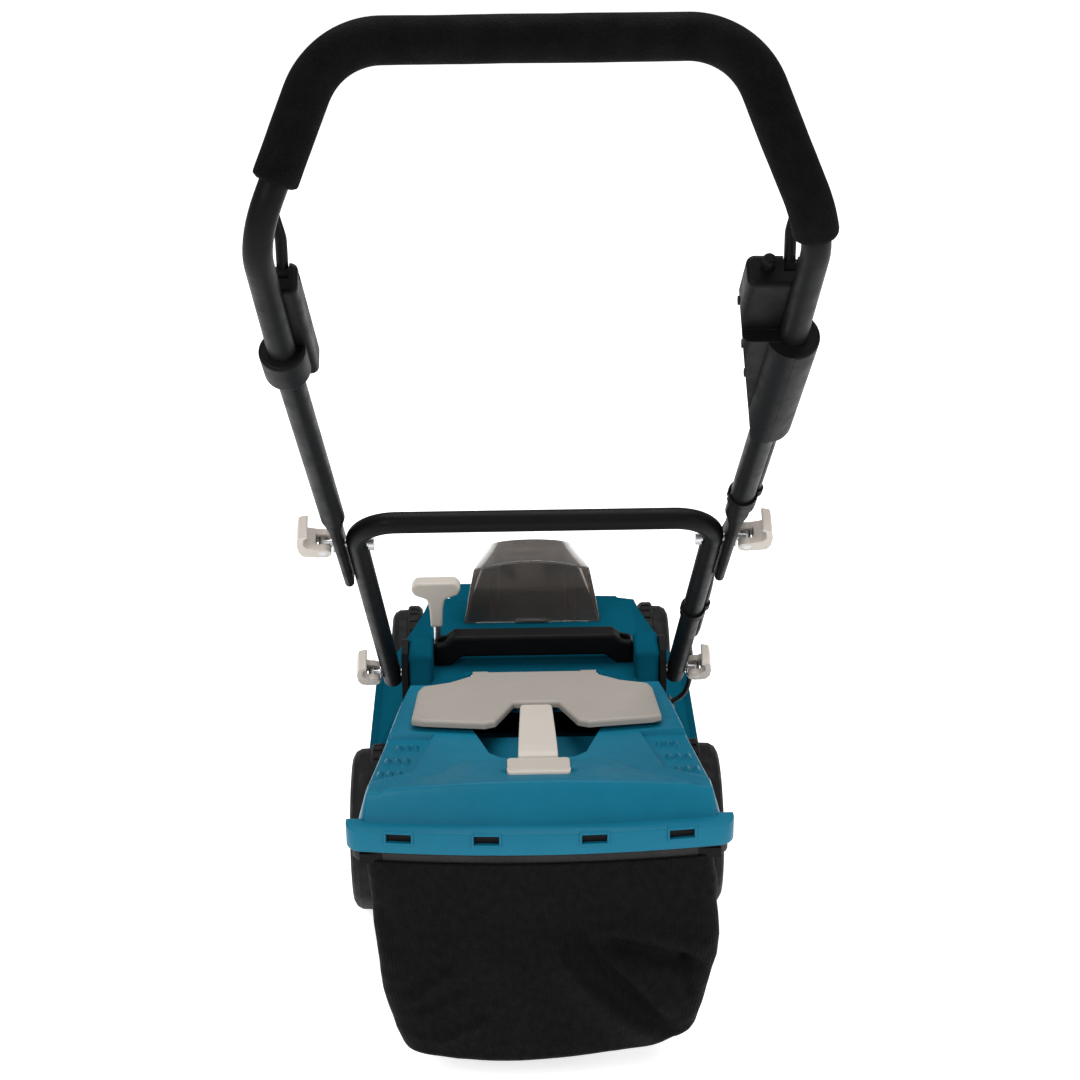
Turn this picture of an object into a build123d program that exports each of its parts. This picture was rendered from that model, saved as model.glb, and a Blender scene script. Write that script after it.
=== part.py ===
"""Cordless rotary lawn mower with a rear grass box, as separate pieces.

Millimetres. +X is the operator's right, +Y is forward, +Z is up.
The origin is on the ground below the middle of the rear axle.
"""

from build123d import *
from math import cos, sin, tan, radians, sqrt
import os

os.makedirs("parts", exist_ok=True)

# ---------------------------------------------------------------- dimensions
WHEELBASE = 415.0
REAR_R, REAR_X0, REAR_X1 = 89.0, 155.0, 192.0
FRONT_R, FRONT_X0, FRONT_X1 = 70.0, 132.0, 168.0
AXLE_R = 5.0
RUN = 0.05  # radial running clearance of a shaft in its hole

CRANK_R, CRANK_DEG = 46.0, 15.0  # wheel crank and how far it is above level with the deck at its lowest
CRANK_Y = CRANK_R * cos(radians(CRANK_DEG))
CRANK_Z = CRANK_R * sin(radians(CRANK_DEG))
REAR_PIVOT = (CRANK_Y, REAR_R - CRANK_Z)
FRONT_PIVOT = (WHEELBASE + CRANK_Y, FRONT_R - CRANK_Z)
PIVOT_R = 6.0
LINK_ARM = 80.0
LINK_XR, LINK_XF = -107.0, -80.0

SKIRT_Z, PLATE_Z, WALL = 22.0, 112.0, 4.0
DECK_FRONT = 509.83
DECK_REAR = -33.0
NOSE_X, MID_X, TAIL_X = 116.0, 183.0, 138.0
TUNNEL_X = 98.0
BLADE_C = (0.0, 217.0)
BLADE_L, BLADE_Z = 310.0, 32.0
RING_R = 160.0  # wall around the blade, 3 mm outside its tips
HOUSING_Z = 236.0

TOWER_X0, TOWER_X1, TOWER_Y0, TOWER_Y1, TOWER_Z = 106.0, 132.0, 48.0, 100.0, 268.0

LOW_R, UP_R, TUBE_WALL = 10.0, 11.0, 1.6
P0 = Vector(150, 65, 240)  # deck pivot of the lower handle
P1 = Vector(165, -140, 483)  # joint of the two tubes, on the lower one
J = Vector(180.2, -140, 483)  # the same joint, on the upper one
U2 = Vector(197, -410, 775)
U3 = Vector(202, -498, 880)
U4 = Vector(146, -470, 1015)
FOAM_R = 17.0
BOLT_R = 4.0

D1 = (P1 - P0).normalized()
TU = (U2 - J).normalized()

GROMMET_P = Vector(140, 118, 166)
GROMMET_D = Vector(0.92, 0, 0.39).normalized()

FLAP_HINGE = (29.0, 251.0)
FLAP_SLOPE = 10.2
LID_FRONT, LID_REAR = 12.0, -308.0
LID_Z0, LID_SLOPE = 252.0, 0.158  # lid top rises to the rear
RIM_Y, RIM_Z0, RIM_Z1 = -318.0, 252.0, 274.0


def save(builder, label):
    builder.part.label = label
    export_step(builder.part, f"parts/{label}.step")


def both(pts):
    """A half outline on the +X side, front to rear, closed by its mirror."""
    return pts + [(-x, y) for x, y in reversed(pts) if abs(x) > 1e-9]


def at(origin, z_dir, x_dir=(1, 0, 0)):
    z = Vector(*z_dir).normalized()
    x = Vector(*x_dir)
    x = (x - z * x.dot(z)).normalized()
    return Plane(origin=tuple(origin), x_dir=tuple(x), z_dir=tuple(z))


# -------------------------------------------------------------------- wheels
def wheel(side, axle_y, r, x0, x1, name):
    w = x1 - x0
    rim = r - 27
    axis = Axis((0, axle_y, r), (1, 0, 0))
    flat = Plane(origin=(0, axle_y, r), x_dir=(1, 0, 0), z_dir=(0, 0, 1))
    with BuildPart() as tyre:
        with BuildSketch(flat):
            Polygon(*[(side * a, b) for a, b in [
                (x0 + 0.5, rim), (x0, rim + 3), (x0, r - 4), (x0 + 3, r - 0.8), (x0 + 6, r),
                (x0 + 15, r), (x0 + 16.5, r - 1.5), (x0 + 16.5, r - 4.5), (x0 + w - 9, r - 5),
                (x0 + w - 3.5, r - 8), (x1 - 0.6, r - 13), (x1, r - 19), (x1, rim + 3), (x1 - 0.5, rim)]],
                align=None)
        revolve(axis=axis)
        # tread: shallow grooves across the running band
        with BuildSketch(Plane(origin=(side * (x0 - 1), axle_y, r), x_dir=(0, 1, 0), z_dir=(side, 0, 0))):
            with PolarLocations(r + 0.6, 30):
                Rectangle(4.4, 5.0)
        extrude(amount=14, mode=Mode.SUBTRACT)
    save(tyre, f"{name}_tyre")
    with BuildPart() as hub:
        with BuildSketch(flat):
            Polygon(*[(side * a, b) for a, b in [
                (x0 - 3, AXLE_R + RUN), (x0 - 3, 11), (x0 + 10, 14), (x0 + 10, rim - 7), (x0 + 1.5, rim - 4),
                (x0 + 1.5, rim), (x1 - 1.5, rim), (x1 - 1.5, rim - 4), (x0 + 15, rim - 8), (x0 + 15, 17),
                (x1 - 6, 15), (x1 - 1.5, 12), (x1 - 0.5, 7), (x1 - 0.5, 0), (x1 - 2.5, 0), (x1 - 2.5, AXLE_R + RUN)]],
                align=None)
        revolve(axis=axis)
        # spokes on the outer face
        with BuildSketch(Plane(origin=(side * (x0 + 14), axle_y, r), x_dir=(0, 1, 0), z_dir=(side, 0, 0))):
            with PolarLocations((rim - 4 + 14) / 2, 6):
                Rectangle(rim - 17, 7)
        extrude(amount=w - 20)
        # lightening windows between the spokes
        with BuildSketch(Plane(origin=(side * (x0 + 5), axle_y, r), x_dir=(0, 1, 0), z_dir=(side, 0, 0))):
            with PolarLocations((rim + 8) / 2, 6, start_angle=30):
                SlotOverall(max(rim * 0.36, 15), 9, rotation=90)
        extrude(amount=15, mode=Mode.SUBTRACT)
    save(hub, f"{name}_hub")


wheel(1, 0.0, REAR_R, REAR_X0, REAR_X1, "rear_right")
wheel(-1, 0.0, REAR_R, REAR_X0, REAR_X1, "rear_left")
wheel(1, WHEELBASE, FRONT_R, FRONT_X0, FRONT_X1, "front_right")
wheel(-1, WHEELBASE, FRONT_R, FRONT_X0, FRONT_X1, "front_left")


# ---------------------------------------------------------- height adjusting
def crank(pivot, axle, xa, xw, link_x, name):
    """Pivot rod across the deck, an arm and a stub axle at each end, and the link arm."""
    with BuildPart() as body:
        with BuildSketch(Plane(origin=(-xa - 8, *pivot), x_dir=(0, 1, 0), z_dir=(1, 0, 0))):
            Circle(PIVOT_R)
        extrude(amount=2 * xa + 16)
        for s in (1, -1):
            mid = ((pivot[0] + axle[0]) / 2, (pivot[1] + axle[1]) / 2)
            with BuildSketch(Plane(origin=(xa if s > 0 else -xa - 8, *mid),
                                   x_dir=(0, cos(radians(CRANK_DEG)), -sin(radians(CRANK_DEG))), z_dir=(1, 0, 0))):
                SlotCenterToCenter(CRANK_R, 19)
            extrude(amount=8)
            with BuildSketch(Plane(origin=(s * (xa + 4), *axle), x_dir=(0, 1, 0), z_dir=(s, 0, 0))):
                Circle(AXLE_R)
            extrude(amount=xw - 3 - xa - 4)
        with BuildSketch(Plane(origin=(link_x - 3, pivot[0], pivot[1] + LINK_ARM / 2),
                               x_dir=(0, 0, 1), z_dir=(1, 0, 0))):
            SlotCenterToCenter(LINK_ARM, 15)
        extrude(amount=6)
        with BuildSketch(Plane(origin=(link_x - 4, pivot[0], pivot[1] + LINK_ARM), x_dir=(0, 1, 0), z_dir=(1, 0, 0))):
            Circle(3.5)
        extrude(amount=8, mode=Mode.SUBTRACT)
    save(body, name)


crank(REAR_PIVOT, (0.0, REAR_R), 142.0, REAR_X1, LINK_XR, "rear_axle_crank")
crank(FRONT_PIVOT, (WHEELBASE, FRONT_R), 119.5, FRONT_X1, LINK_XF, "front_axle_crank")

with BuildPart() as height_link_rod:
    ra = Vector(LINK_XR, REAR_PIVOT[0], REAR_PIVOT[1] + LINK_ARM)
    fa = Vector(LINK_XF, FRONT_PIVOT[0], FRONT_PIVOT[1] + LINK_ARM)
    with BuildLine() as link_path:
        FilletPolyline((ra.X + 5, ra.Y, ra.Z), (ra.X - 9, ra.Y, ra.Z), (fa.X - 9, fa.Y, fa.Z), (fa.X + 5, fa.Y, fa.Z),
                       radius=[5, 5])
    with BuildSketch(Plane(origin=link_path.line @ 0, z_dir=link_path.line % 0)):
        Circle(3.0)
    sweep()
save(height_link_rod, "height_link_rod")

LEVER_PIVOT = Vector(-101, 112, 186)
KNOB = Vector(-103, 125, 300)
with BuildPart() as height_lever_rod:
    with BuildSketch(Plane(origin=(-108, LEVER_PIVOT.Y, LEVER_PIVOT.Z), x_dir=(0, 1, 0), z_dir=(1, 0, 0))):
        Circle(BOLT_R)
    extrude(amount=26)
    with BuildSketch(Plane(origin=(-106, LEVER_PIVOT.Y, LEVER_PIVOT.Z), x_dir=(0, 1, 0), z_dir=(1, 0, 0))):
        Circle(9)
    extrude(amount=9)
    ldir = (KNOB - LEVER_PIVOT).normalized()
    with BuildSketch(at(LEVER_PIVOT + ldir * 2, tuple(ldir))):
        Circle(4.0)
    extrude(amount=(KNOB - LEVER_PIVOT).length + 8)
save(height_lever_rod, "height_lever_rod")

with BuildPart() as height_lever_knob:
    kp = at(KNOB, (0, -1, tan(radians(6.5))), (1, 0, 0))
    with BuildSketch(kp.offset(-12)):
        with BuildLine():
            FilletPolyline((-21, 18), (21, 18), (27, 11), (23, 4), (9.5, -1), (7, -13), (6, -32), (-6, -32), (-7, -13), (-9.5, -1),
                           (-23, 4), (-27, 11), radius=[6, 6, 5, 5, 5, 10, 2, 2, 10, 5, 5, 5], close=True)
        make_face()
    extrude(amount=24)
    fillet(height_lever_knob.edges().group_by(Axis.Y)[0] + height_lever_knob.edges().group_by(Axis.Y)[-1], 3)
    with BuildSketch(at(LEVER_PIVOT + ldir * 2, tuple(ldir))):
        Circle(4.0)
    extrude(amount=(KNOB - LEVER_PIVOT).length + 8, mode=Mode.SUBTRACT)
save(height_lever_knob, "height_lever_knob")

with BuildPart() as height_quadrant:
    with BuildSketch(Plane(origin=(-92, 0, 0), x_dir=(0, 1, 0), z_dir=(1, 0, 0))):
        with BuildLine():
            Polyline((100, 150), (124, 150), (124, 196), (158, 214), (158, 229), (100, 229), close=True)
        make_face()
        with Locations((LEVER_PIVOT.Y, LEVER_PIVOT.Z)):
            Circle(BOLT_R + RUN, mode=Mode.SUBTRACT)
        with Locations((116, 229), (130, 229), (144, 229)):
            Rectangle(6, 10, mode=Mode.SUBTRACT)
    extrude(amount=4)
    with BuildSketch(Plane(origin=(-92, 100, 112))):
        Rectangle(16, 24, align=(Align.MIN, Align.MIN))
    extrude(amount=4)
    with BuildSketch(Plane(origin=(-92, 100, 112))):
        Rectangle(4, 24, align=(Align.MIN, Align.MIN))
    extrude(amount=60)
save(height_quadrant, "height_quadrant")

# ---------------------------------------------------------------------- deck
DECK_HALF = [(88, DECK_FRONT), (NOSE_X, DECK_FRONT - 30), (NOSE_X, 345), (MID_X, 312), (MID_X, 124), (TAIL_X, 100),
             (TAIL_X, DECK_REAR)]
with BuildPart() as deck_shell:
    with BuildSketch(Plane.XY.offset(SKIRT_Z)):
        Polygon(*both(DECK_HALF), align=None)
    extrude(amount=PLATE_Z - SKIRT_Z)
    upright = deck_shell.edges().filter_by(Axis.Z)
    fillet(upright.filter_by(lambda e: e.center().Y > DECK_REAR + 20), 16)
    rim_edges = deck_shell.faces().sort_by(Axis.Z)[-1].edges().filter_by(lambda e: e.center().Y > DECK_REAR + 5)
    fillet(rim_edges, 9)
    with BuildSketch(Plane.XY.offset(SKIRT_Z - 1)):
        Polygon(*both([(86, DECK_FRONT - WALL), (NOSE_X - WALL, DECK_FRONT - 32), (NOSE_X - WALL, 342.5),
                       (MID_X - WALL, 309.5), (MID_X - WALL, 126.5), (TAIL_X - WALL, 102.5),
                       (TAIL_X - WALL, DECK_REAR + WALL)]), align=None)
    extrude(amount=PLATE_Z - WALL - SKIRT_Z + 1, mode=Mode.SUBTRACT)
    # ring around the blade, open to the rear
    with BuildSketch(Plane.XY.offset(SKIRT_Z + 6)):
        with Locations(BLADE_C):
            Circle(RING_R + 3)
            Circle(RING_R, mode=Mode.SUBTRACT)
        with Locations((0, 20)):
            Rectangle(2 * TUNNEL_X, 160, mode=Mode.SUBTRACT)
    extrude(amount=PLATE_Z - WALL - SKIRT_Z - 6)
    # side walls and ramp of the discharge channel
    for s in (1, -1):
        with BuildSketch(Plane(origin=(s * (TUNNEL_X + 1.5) - 1.5, 0, 0), x_dir=(0, 1, 0), z_dir=(1, 0, 0))):
            Polygon((DECK_REAR, SKIRT_Z + 6), (70, SKIRT_Z + 6), (70, 60), (94, 60), (94, PLATE_Z - WALL),
                    (DECK_REAR, PLATE_Z - WALL), align=None)
        extrude(amount=3)
    with BuildSketch(Plane(origin=(-TUNNEL_X, 0, 0), x_dir=(0, 1, 0), z_dir=(1, 0, 0))):
        Polygon((DECK_REAR, 82), (DECK_REAR, 86), (-8, 84), (44, 40), (44, 36), (-10, 80), align=None)
    extrude(amount=2 * TUNNEL_X)
    # the channel goes up through the plate and out at the back
    with BuildSketch(Plane.XY.offset(PLATE_Z - WALL - 1)):
        Polygon((-TUNNEL_X, DECK_REAR + WALL), (TUNNEL_X, DECK_REAR + WALL), (TUNNEL_X, 92), (-TUNNEL_X, 92), align=None)
    extrude(amount=WALL + 2, mode=Mode.SUBTRACT)
    with BuildSketch(Plane.XZ.offset(-DECK_REAR + 1)):
        Polygon((-TUNNEL_X, 87), (TUNNEL_X, 87), (TUNNEL_X, PLATE_Z + 1), (-TUNNEL_X, PLATE_Z + 1), align=None)
    extrude(amount=-WALL - 1.5, mode=Mode.SUBTRACT)
    # holes for the crank pivots
    for pivot, half in ((REAR_PIVOT, TAIL_X + 5), (FRONT_PIVOT, NOSE_X + 5)):
        with BuildSketch(Plane(origin=(-half, *pivot), x_dir=(0, 1, 0), z_dir=(1, 0, 0))):
            Circle(PIVOT_R + RUN)
        extrude(amount=2 * half, mode=Mode.SUBTRACT)
    # slots for the link arms
    with BuildSketch(Plane.XY.offset(PLATE_Z - WALL - 1)):
        with Locations((LINK_XR, 26)):
            Rectangle(9, 60)
        with Locations((LINK_XF - 4, 430)):
            Rectangle(22, 90)
    extrude(amount=WALL + 2, mode=Mode.SUBTRACT)
    # motor opening
    with BuildSketch(Plane.XY.offset(PLATE_Z - WALL - 1)):
        with Locations(BLADE_C):
            Circle(24)
    extrude(amount=WALL + 2, mode=Mode.SUBTRACT)
save(deck_shell, "deck_shell")

HB = [(80, 500), (110, 472), (112, 349), (174, 312), (174, 126), (134, 102), (134, DECK_REAR)]
HT = [(62, 424), (92, 402), (97, 352), (112, 322), (112, 132), (112, 104), (112, DECK_REAR)]
HBI = [(78, 496), (106.5, 470), (108.5, 347), (170.5, 310), (170.5, 128), (130.5, 105.5), (130.5, DECK_REAR + 3.5)]
HTI = [(60, 420), (88.5, 400), (93.5, 351), (108.5, 321), (108.5, 133), (108.5, 105), (108.5, DECK_REAR + 3.5)]
BAY = (50.0, 192.0, 322.0)  # half width, rear and front of the battery opening
COVER_HINGE = (346.0, 243.0)
FALL_Y, FALL = 238.0, 0.455  # in front of this the housing falls away, by so much for each unit of length
SEAT = [(70, FALL_Y - 6), (52, 361)]  # raised seat of the battery cover


def front_fall(drop, inset):
    """What is cut off above the falling front, beside and before the seat."""
    with BuildPart() as cut:
        with BuildSketch(Plane(origin=(-200, 0, 0), x_dir=(0, 1, 0), z_dir=(1, 0, 0))):
            Polygon((FALL_Y, HOUSING_Z - drop), (FALL_Y, 280), (540, 280),
                    (540, HOUSING_Z - drop - FALL * (540 - FALL_Y)), align=None)
        extrude(amount=400)
        with BuildSketch(Plane.XY.offset(60)):
            Polygon(*both([(SEAT[0][0] - inset, SEAT[0][1]), (SEAT[1][0] - inset, SEAT[1][1] - inset)]), align=None)
        extrude(amount=240, mode=Mode.SUBTRACT)
    return cut.part


with BuildPart() as housing_hollow:
    with BuildSketch(Plane.XY.offset(PLATE_Z)):
        Polygon(*both(HBI), align=None)
    with BuildSketch(Plane.XY.offset(HOUSING_Z - 3.5)):
        Polygon(*both(HTI), align=None)
    loft(ruled=True)
    add(front_fall(4.0, 3.5), mode=Mode.SUBTRACT)

with BuildPart() as upper_housing:
    with BuildSketch(Plane.XY.offset(PLATE_Z)):
        Polygon(*both(HB), align=None)
    with BuildSketch(Plane.XY.offset(HOUSING_Z)):
        Polygon(*both(HT), align=None)
    loft(ruled=True)
    top_edges = upper_housing.faces().sort_by(Axis.Z)[-1].edges().filter_by(lambda e: e.center().Y > DECK_REAR + 5)
    fillet(top_edges, 8)
    add(front_fall(0.0, 0.0), mode=Mode.SUBTRACT)
    # low cover over the front end of the height link
    with BuildSketch(Plane.XY.offset(PLATE_Z)):
        with Locations((-83.5, 433.5)):
            RectangleRounded(29, 75, 6)
    extrude(amount=37.6)
    # handle towers
    for s in (1, -1):
        with BuildSketch(Plane.XY.offset(PLATE_Z)):
            with Locations((s * (TOWER_X0 + TOWER_X1) / 2, (TOWER_Y0 + TOWER_Y1) / 2)):
                RectangleRounded(TOWER_X1 - TOWER_X0, TOWER_Y1 - TOWER_Y0, 5)
        extrude(amount=TOWER_Z - PLATE_Z)
        # shoulder in front of each tower
        with BuildSketch(Plane(origin=(s * 112, 0, 0) if s > 0 else (-126, 0, 0), x_dir=(0, 1, 0), z_dir=(1, 0, 0))):
            Polygon((98, 180), (98, 258), (112, 250), (150, 212), (160, 180), align=None)
        extrude(amount=14)
    fillet(upper_housing.faces().filter_by(Axis.Z).filter_by(lambda f: abs(f.center().Z - TOWER_Z) < 0.1).edges(), 6)
    add(housing_hollow.part, mode=Mode.SUBTRACT)
    with BuildSketch(Plane.XY.offset(PLATE_Z)):
        with Locations((-83.5, 433.5)):
            RectangleRounded(23, 70, 3)
    extrude(amount=35, mode=Mode.SUBTRACT)
    # walls of the discharge channel
    with BuildSketch(Plane.XY.offset(PLATE_Z)):
        with Locations((TUNNEL_X + 1.5, 31.5), (-TUNNEL_X - 1.5, 31.5)):
            Rectangle(3, 129)
        with Locations((0, 94.5)):
            Rectangle(2 * TUNNEL_X, 3)
    extrude(amount=HOUSING_Z - 3.5 - PLATE_Z)
    with BuildSketch(Plane.XZ.offset(-DECK_REAR + 1)):
        Polygon((-TUNNEL_X, PLATE_Z - 1), (TUNNEL_X, PLATE_Z - 1), (TUNNEL_X, 226), (-TUNNEL_X, 226), align=None)
    extrude(amount=-6, mode=Mode.SUBTRACT)
    # lugs of the flap rod and of the battery cover hinge
    for s in (1, -1):
        with BuildSketch(Plane(origin=(65.5 if s > 0 else -73, 0, 0), x_dir=(0, 1, 0), z_dir=(1, 0, 0))):
            with Locations(FLAP_HINGE):
                Circle(5.5)
            Polygon((23.5, 233), (23.5, 251), (34.5, 251), (40, 233), align=None)
        extrude(amount=7.5)
        with BuildSketch(Plane(origin=(36 if s > 0 else -44, 0, 0), x_dir=(0, 1, 0), z_dir=(1, 0, 0))):
            Polygon((338, 233), (340, 247), (343, 249), (349, 249), (352, 247), (358, 233), align=None)
        extrude(amount=8)
    with BuildSketch(Plane(origin=(-74, *FLAP_HINGE), x_dir=(0, 1, 0), z_dir=(1, 0, 0))):
        Circle(3.0)
    extrude(amount=148, mode=Mode.SUBTRACT)
    with BuildSketch(Plane(origin=(-46, *COVER_HINGE), x_dir=(0, 1, 0), z_dir=(1, 0, 0))):
        Circle(3.0 + RUN)
    extrude(amount=92, mode=Mode.SUBTRACT)
    # pivot bolts of the handle
    with BuildSketch(Plane(origin=(-140, P0.Y, P0.Z), x_dir=(0, 1, 0), z_dir=(1, 0, 0))):
        Circle(BOLT_R)
    extrude(amount=280, mode=Mode.SUBTRACT)
    # cable entry
    with BuildSketch(at(GROMMET_P - GROMMET_D * 20, tuple(GROMMET_D))):
        Circle(6)
    extrude(amount=40, mode=Mode.SUBTRACT)
    # battery opening and lever slot
    with BuildSketch(Plane.XY.offset(HOUSING_Z - 10)):
        with Locations((0, (BAY[1] + BAY[2]) / 2)):
            RectangleRounded(2 * BAY[0], BAY[2] - BAY[1], 10)
        with Locations((-101.5, 134)):
            SlotOverall(50, 13, rotation=90)
    extrude(amount=20, mode=Mode.SUBTRACT)
save(upper_housing, "upper_housing")

with BuildPart() as battery_tray:
    with BuildSketch(Plane.XY.offset(204)):
        with Locations((0, (BAY[1] + BAY[2]) / 2)):
            RectangleRounded(2 * BAY[0] - 0.4, BAY[2] - BAY[1] - 0.4, 9.8)
    extrude(amount=HOUSING_Z - 204)
    with BuildSketch(Plane.XY.offset(207)):
        with Locations((0, (BAY[1] + BAY[2]) / 2)):
            RectangleRounded(2 * BAY[0] - 6, BAY[2] - BAY[1] - 6, 7)
    extrude(amount=HOUSING_Z - 206, mode=Mode.SUBTRACT)
    # rails beside the pack
    with BuildSketch(Plane.XY.offset(207)):
        with Locations((42, 262), (-42, 262)):
            Rectangle(5, 100)
    extrude(amount=22)
save(battery_tray, "battery_tray")

with BuildPart() as terminal_block:
    with BuildSketch(Plane.XY.offset(207)):
        with Locations((0, 288)):
            RectangleRounded(60, 10, 2)
    extrude(amount=38)
    with BuildSketch(Plane.XZ.offset(-284)):
        with Locations((-18, 226), (0, 226), (18, 226)):
            Rectangle(3, 16)
    extrude(amount=2)
save(terminal_block, "terminal_block")

with BuildPart() as battery_pack:
    with BuildSketch(Plane.XY.offset(208)):
        with Locations((0, 240)):
            RectangleRounded(74, 82, 6)
    extrude(amount=60)
    fillet(battery_pack.faces().sort_by(Axis.Z)[-1].edges(), 5)
    with BuildSketch(Plane.XZ.offset(-280.9)):
        with Locations((-18, 224), (0, 224), (18, 224)):
            Rectangle(5, 34)
    extrude(amount=9, mode=Mode.SUBTRACT)
    # finger grips on both sides
    with BuildSketch(Plane.XY.offset(242)):
        with Locations((37, 222), (37, 232), (37, 242), (37, 252), (-37, 222), (-37, 232), (-37, 242), (-37, 252)):
            Rectangle(3, 5)
    extrude(amount=18, mode=Mode.SUBTRACT)
save(battery_pack, "battery_pack")

with BuildPart() as isolation_key:
    with BuildSketch(Plane.XY.offset(207.2)):
        with Locations((30, 307)):
            RectangleRounded(9, 16, 2)
    extrude(amount=31.8)
    with BuildSketch(Plane.XY.offset(239)):
        with Locations((30, 307)):
            RectangleRounded(12, 22, 3)
    extrude(amount=14)
    fillet(isolation_key.faces().sort_by(Axis.Z)[-1].edges(), 3)
save(isolation_key, "isolation_key")

with BuildPart() as motor_body:
    with BuildSketch(Plane.XY.offset(PLATE_Z)):
        with Locations(BLADE_C):
            Circle(50)
    extrude(amount=78)
    fillet(motor_body.faces().sort_by(Axis.Z)[-1].edges(), 8)
    with BuildSketch(Plane.XY.offset(PLATE_Z)):
        with Locations(BLADE_C):
            with PolarLocations(56, 4, start_angle=45):
                Circle(8)
    extrude(amount=8)
    with BuildSketch(Plane.XY.offset(PLATE_Z + 20)):
        with Locations(BLADE_C):
            with PolarLocations(51, 16):
                Rectangle(8, 5)
    extrude(amount=40, mode=Mode.SUBTRACT)
    with BuildSketch(Plane.XY.offset(PLATE_Z - WALL)):
        with Locations(BLADE_C):
            Circle(23.8)
    extrude(amount=WALL)
    with BuildSketch(Plane.XY.offset(PLATE_Z - WALL - 1)):
        with Locations(BLADE_C):
            Circle(8 + RUN)
    extrude(amount=60, mode=Mode.SUBTRACT)
save(motor_body, "motor_body")

with BuildPart() as controller_box:
    with BuildSketch(Plane.XY.offset(PLATE_Z)):
        with Locations((12, 356)):
            RectangleRounded(96, 62, 5)
    extrude(amount=40)
    with BuildSketch(Plane.XY.offset(PLATE_Z + 40)):
        with Locations(*[(12 - 36 + 12 * i, 356) for i in range(7)]):
            Rectangle(3, 50)
    extrude(amount=8)
save(controller_box, "controller_box")

with BuildPart() as blade_spindle:
    with BuildSketch(Plane.XY.offset(BLADE_Z + 3)):
        with Locations(BLADE_C):
            Circle(8)
    extrude(amount=118)
    with BuildSketch(Plane.XY.offset(BLADE_Z + 3)):
        with Locations(BLADE_C):
            Circle(30)
    extrude(amount=8)
    with BuildSketch(Plane.XY.offset(BLADE_Z + 3)):
        with Locations(BLADE_C):
            Circle(17)
    extrude(amount=26)
    with BuildSketch(Plane.XY.offset(BLADE_Z + 11)):
        with Locations(BLADE_C):
            with PolarLocations(34, 6):
                Rectangle(40, 3)
    extrude(amount=14)
    with BuildSketch(Plane.XY.offset(BLADE_Z)):
        with Locations((BLADE_C[0] + 20, BLADE_C[1]), (BLADE_C[0] - 20, BLADE_C[1])):
            Circle(3)
    extrude(amount=4)
    with BuildSketch(Plane.XY.offset(BLADE_Z + 3)):
        with Locations(BLADE_C):
            Circle(4)
    extrude(amount=30, mode=Mode.SUBTRACT)
save(blade_spindle, "blade_spindle")

with BuildPart() as blade:
    half = BLADE_L / 2
    with BuildSketch(Plane.XY.offset(BLADE_Z)):
        with BuildLine():
            Polyline(*[(x, BLADE_C[1] + y) for x, y in [
                (-half, -20), (-half + 70, -25), (half, -25), (half, 20), (half - 70, 25), (-half, 25)]], close=True)
        make_face()
        with Locations(BLADE_C):
            Circle(4 + RUN, mode=Mode.SUBTRACT)
        with Locations((BLADE_C[0] + 20, BLADE_C[1]), (BLADE_C[0] - 20, BLADE_C[1])):
            Circle(3 + RUN, mode=Mode.SUBTRACT)
    extrude(amount=3)
    # lifting wings on the trailing edges
    for s in (1, -1):
        with BuildSketch(Plane(origin=(half - 62 if s > 0 else -half + 2, 0, 0), x_dir=(0, 1, 0), z_dir=(1, 0, 0))):
            c = BLADE_C[1]
            Polygon(*[(c + s * y, BLADE_Z + z) for y, z in [(12, 0), (25, 6), (33, 15), (31, 16.5), (23, 8.5), (12, 3)]],
                    align=None)
        extrude(amount=60)
save(blade, "blade")

with BuildPart() as blade_bolt:
    with BuildSketch(Plane.XY.offset(BLADE_Z - 8)):
        with Locations(BLADE_C):
            RegularPolygon(9.5, 6)
    extrude(amount=6)
    with BuildSketch(Plane.XY.offset(BLADE_Z - 2)):
        with Locations(BLADE_C):
            Circle(14)
    extrude(amount=2)
    with BuildSketch(Plane.XY.offset(BLADE_Z)):
        with Locations(BLADE_C):
            Circle(4)
    extrude(amount=28)
save(blade_bolt, "blade_bolt")

# ------------------------------------------------------------ carrying handle
with BuildPart() as carry_handle:
    with BuildSketch(Plane.XZ.offset(-108)):
        with BuildLine():
            FilletPolyline((105.8, HOUSING_Z), (105.8, 260), (93, 263), (84, 270), (-84, 270), (-93, 263), (-105.8, 260),
                           (-105.8, HOUSING_Z), (-88, HOUSING_Z), (-76, 246), (76, 246), (88, HOUSING_Z),
                           radius=[0.5, 5, 6, 6, 6, 6, 5, 0.5, 4, 8, 8, 4], close=True)
        make_face()
    extrude(amount=24)
    fillet(carry_handle.edges().filter_by(lambda e: (abs(e.center().Y - 84) < 0.1 or abs(e.center().Y - 108) < 0.1)
                                          and e.center().Z > HOUSING_Z + 0.5 and abs(e.center().X) < 105), 4)
    with BuildSketch(Plane.XY.offset(252)):
        with Locations((97, 96), (-97, 96)):
            Circle(6)
    extrude(amount=20, mode=Mode.SUBTRACT)
    with BuildSketch(Plane.XY.offset(HOUSING_Z - 1)):
        with Locations((97, 96), (-97, 96)):
            Circle(2.5)
    extrude(amount=30, mode=Mode.SUBTRACT)
save(carry_handle, "carry_handle")

with BuildPart() as housing_screws:
    with BuildSketch(Plane.XY.offset(252)):
        with Locations((97, 96), (-97, 96)):
            Circle(5)
    extrude(amount=4)
    with BuildSketch(Plane.XY.offset(238)):
        with Locations((97, 96), (-97, 96)):
            Circle(2.5)
    extrude(amount=14)
    with BuildSketch(Plane.XY.offset(254)):
        with Locations((97, 96), (-97, 96)):
            RegularPolygon(2.6, 6)
    extrude(amount=3, mode=Mode.SUBTRACT)
save(housing_screws, "housing_screws")

# --------------------------------------------------------------------- handle
def mx(v):
    return Vector(-v.X, v.Y, v.Z)


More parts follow.
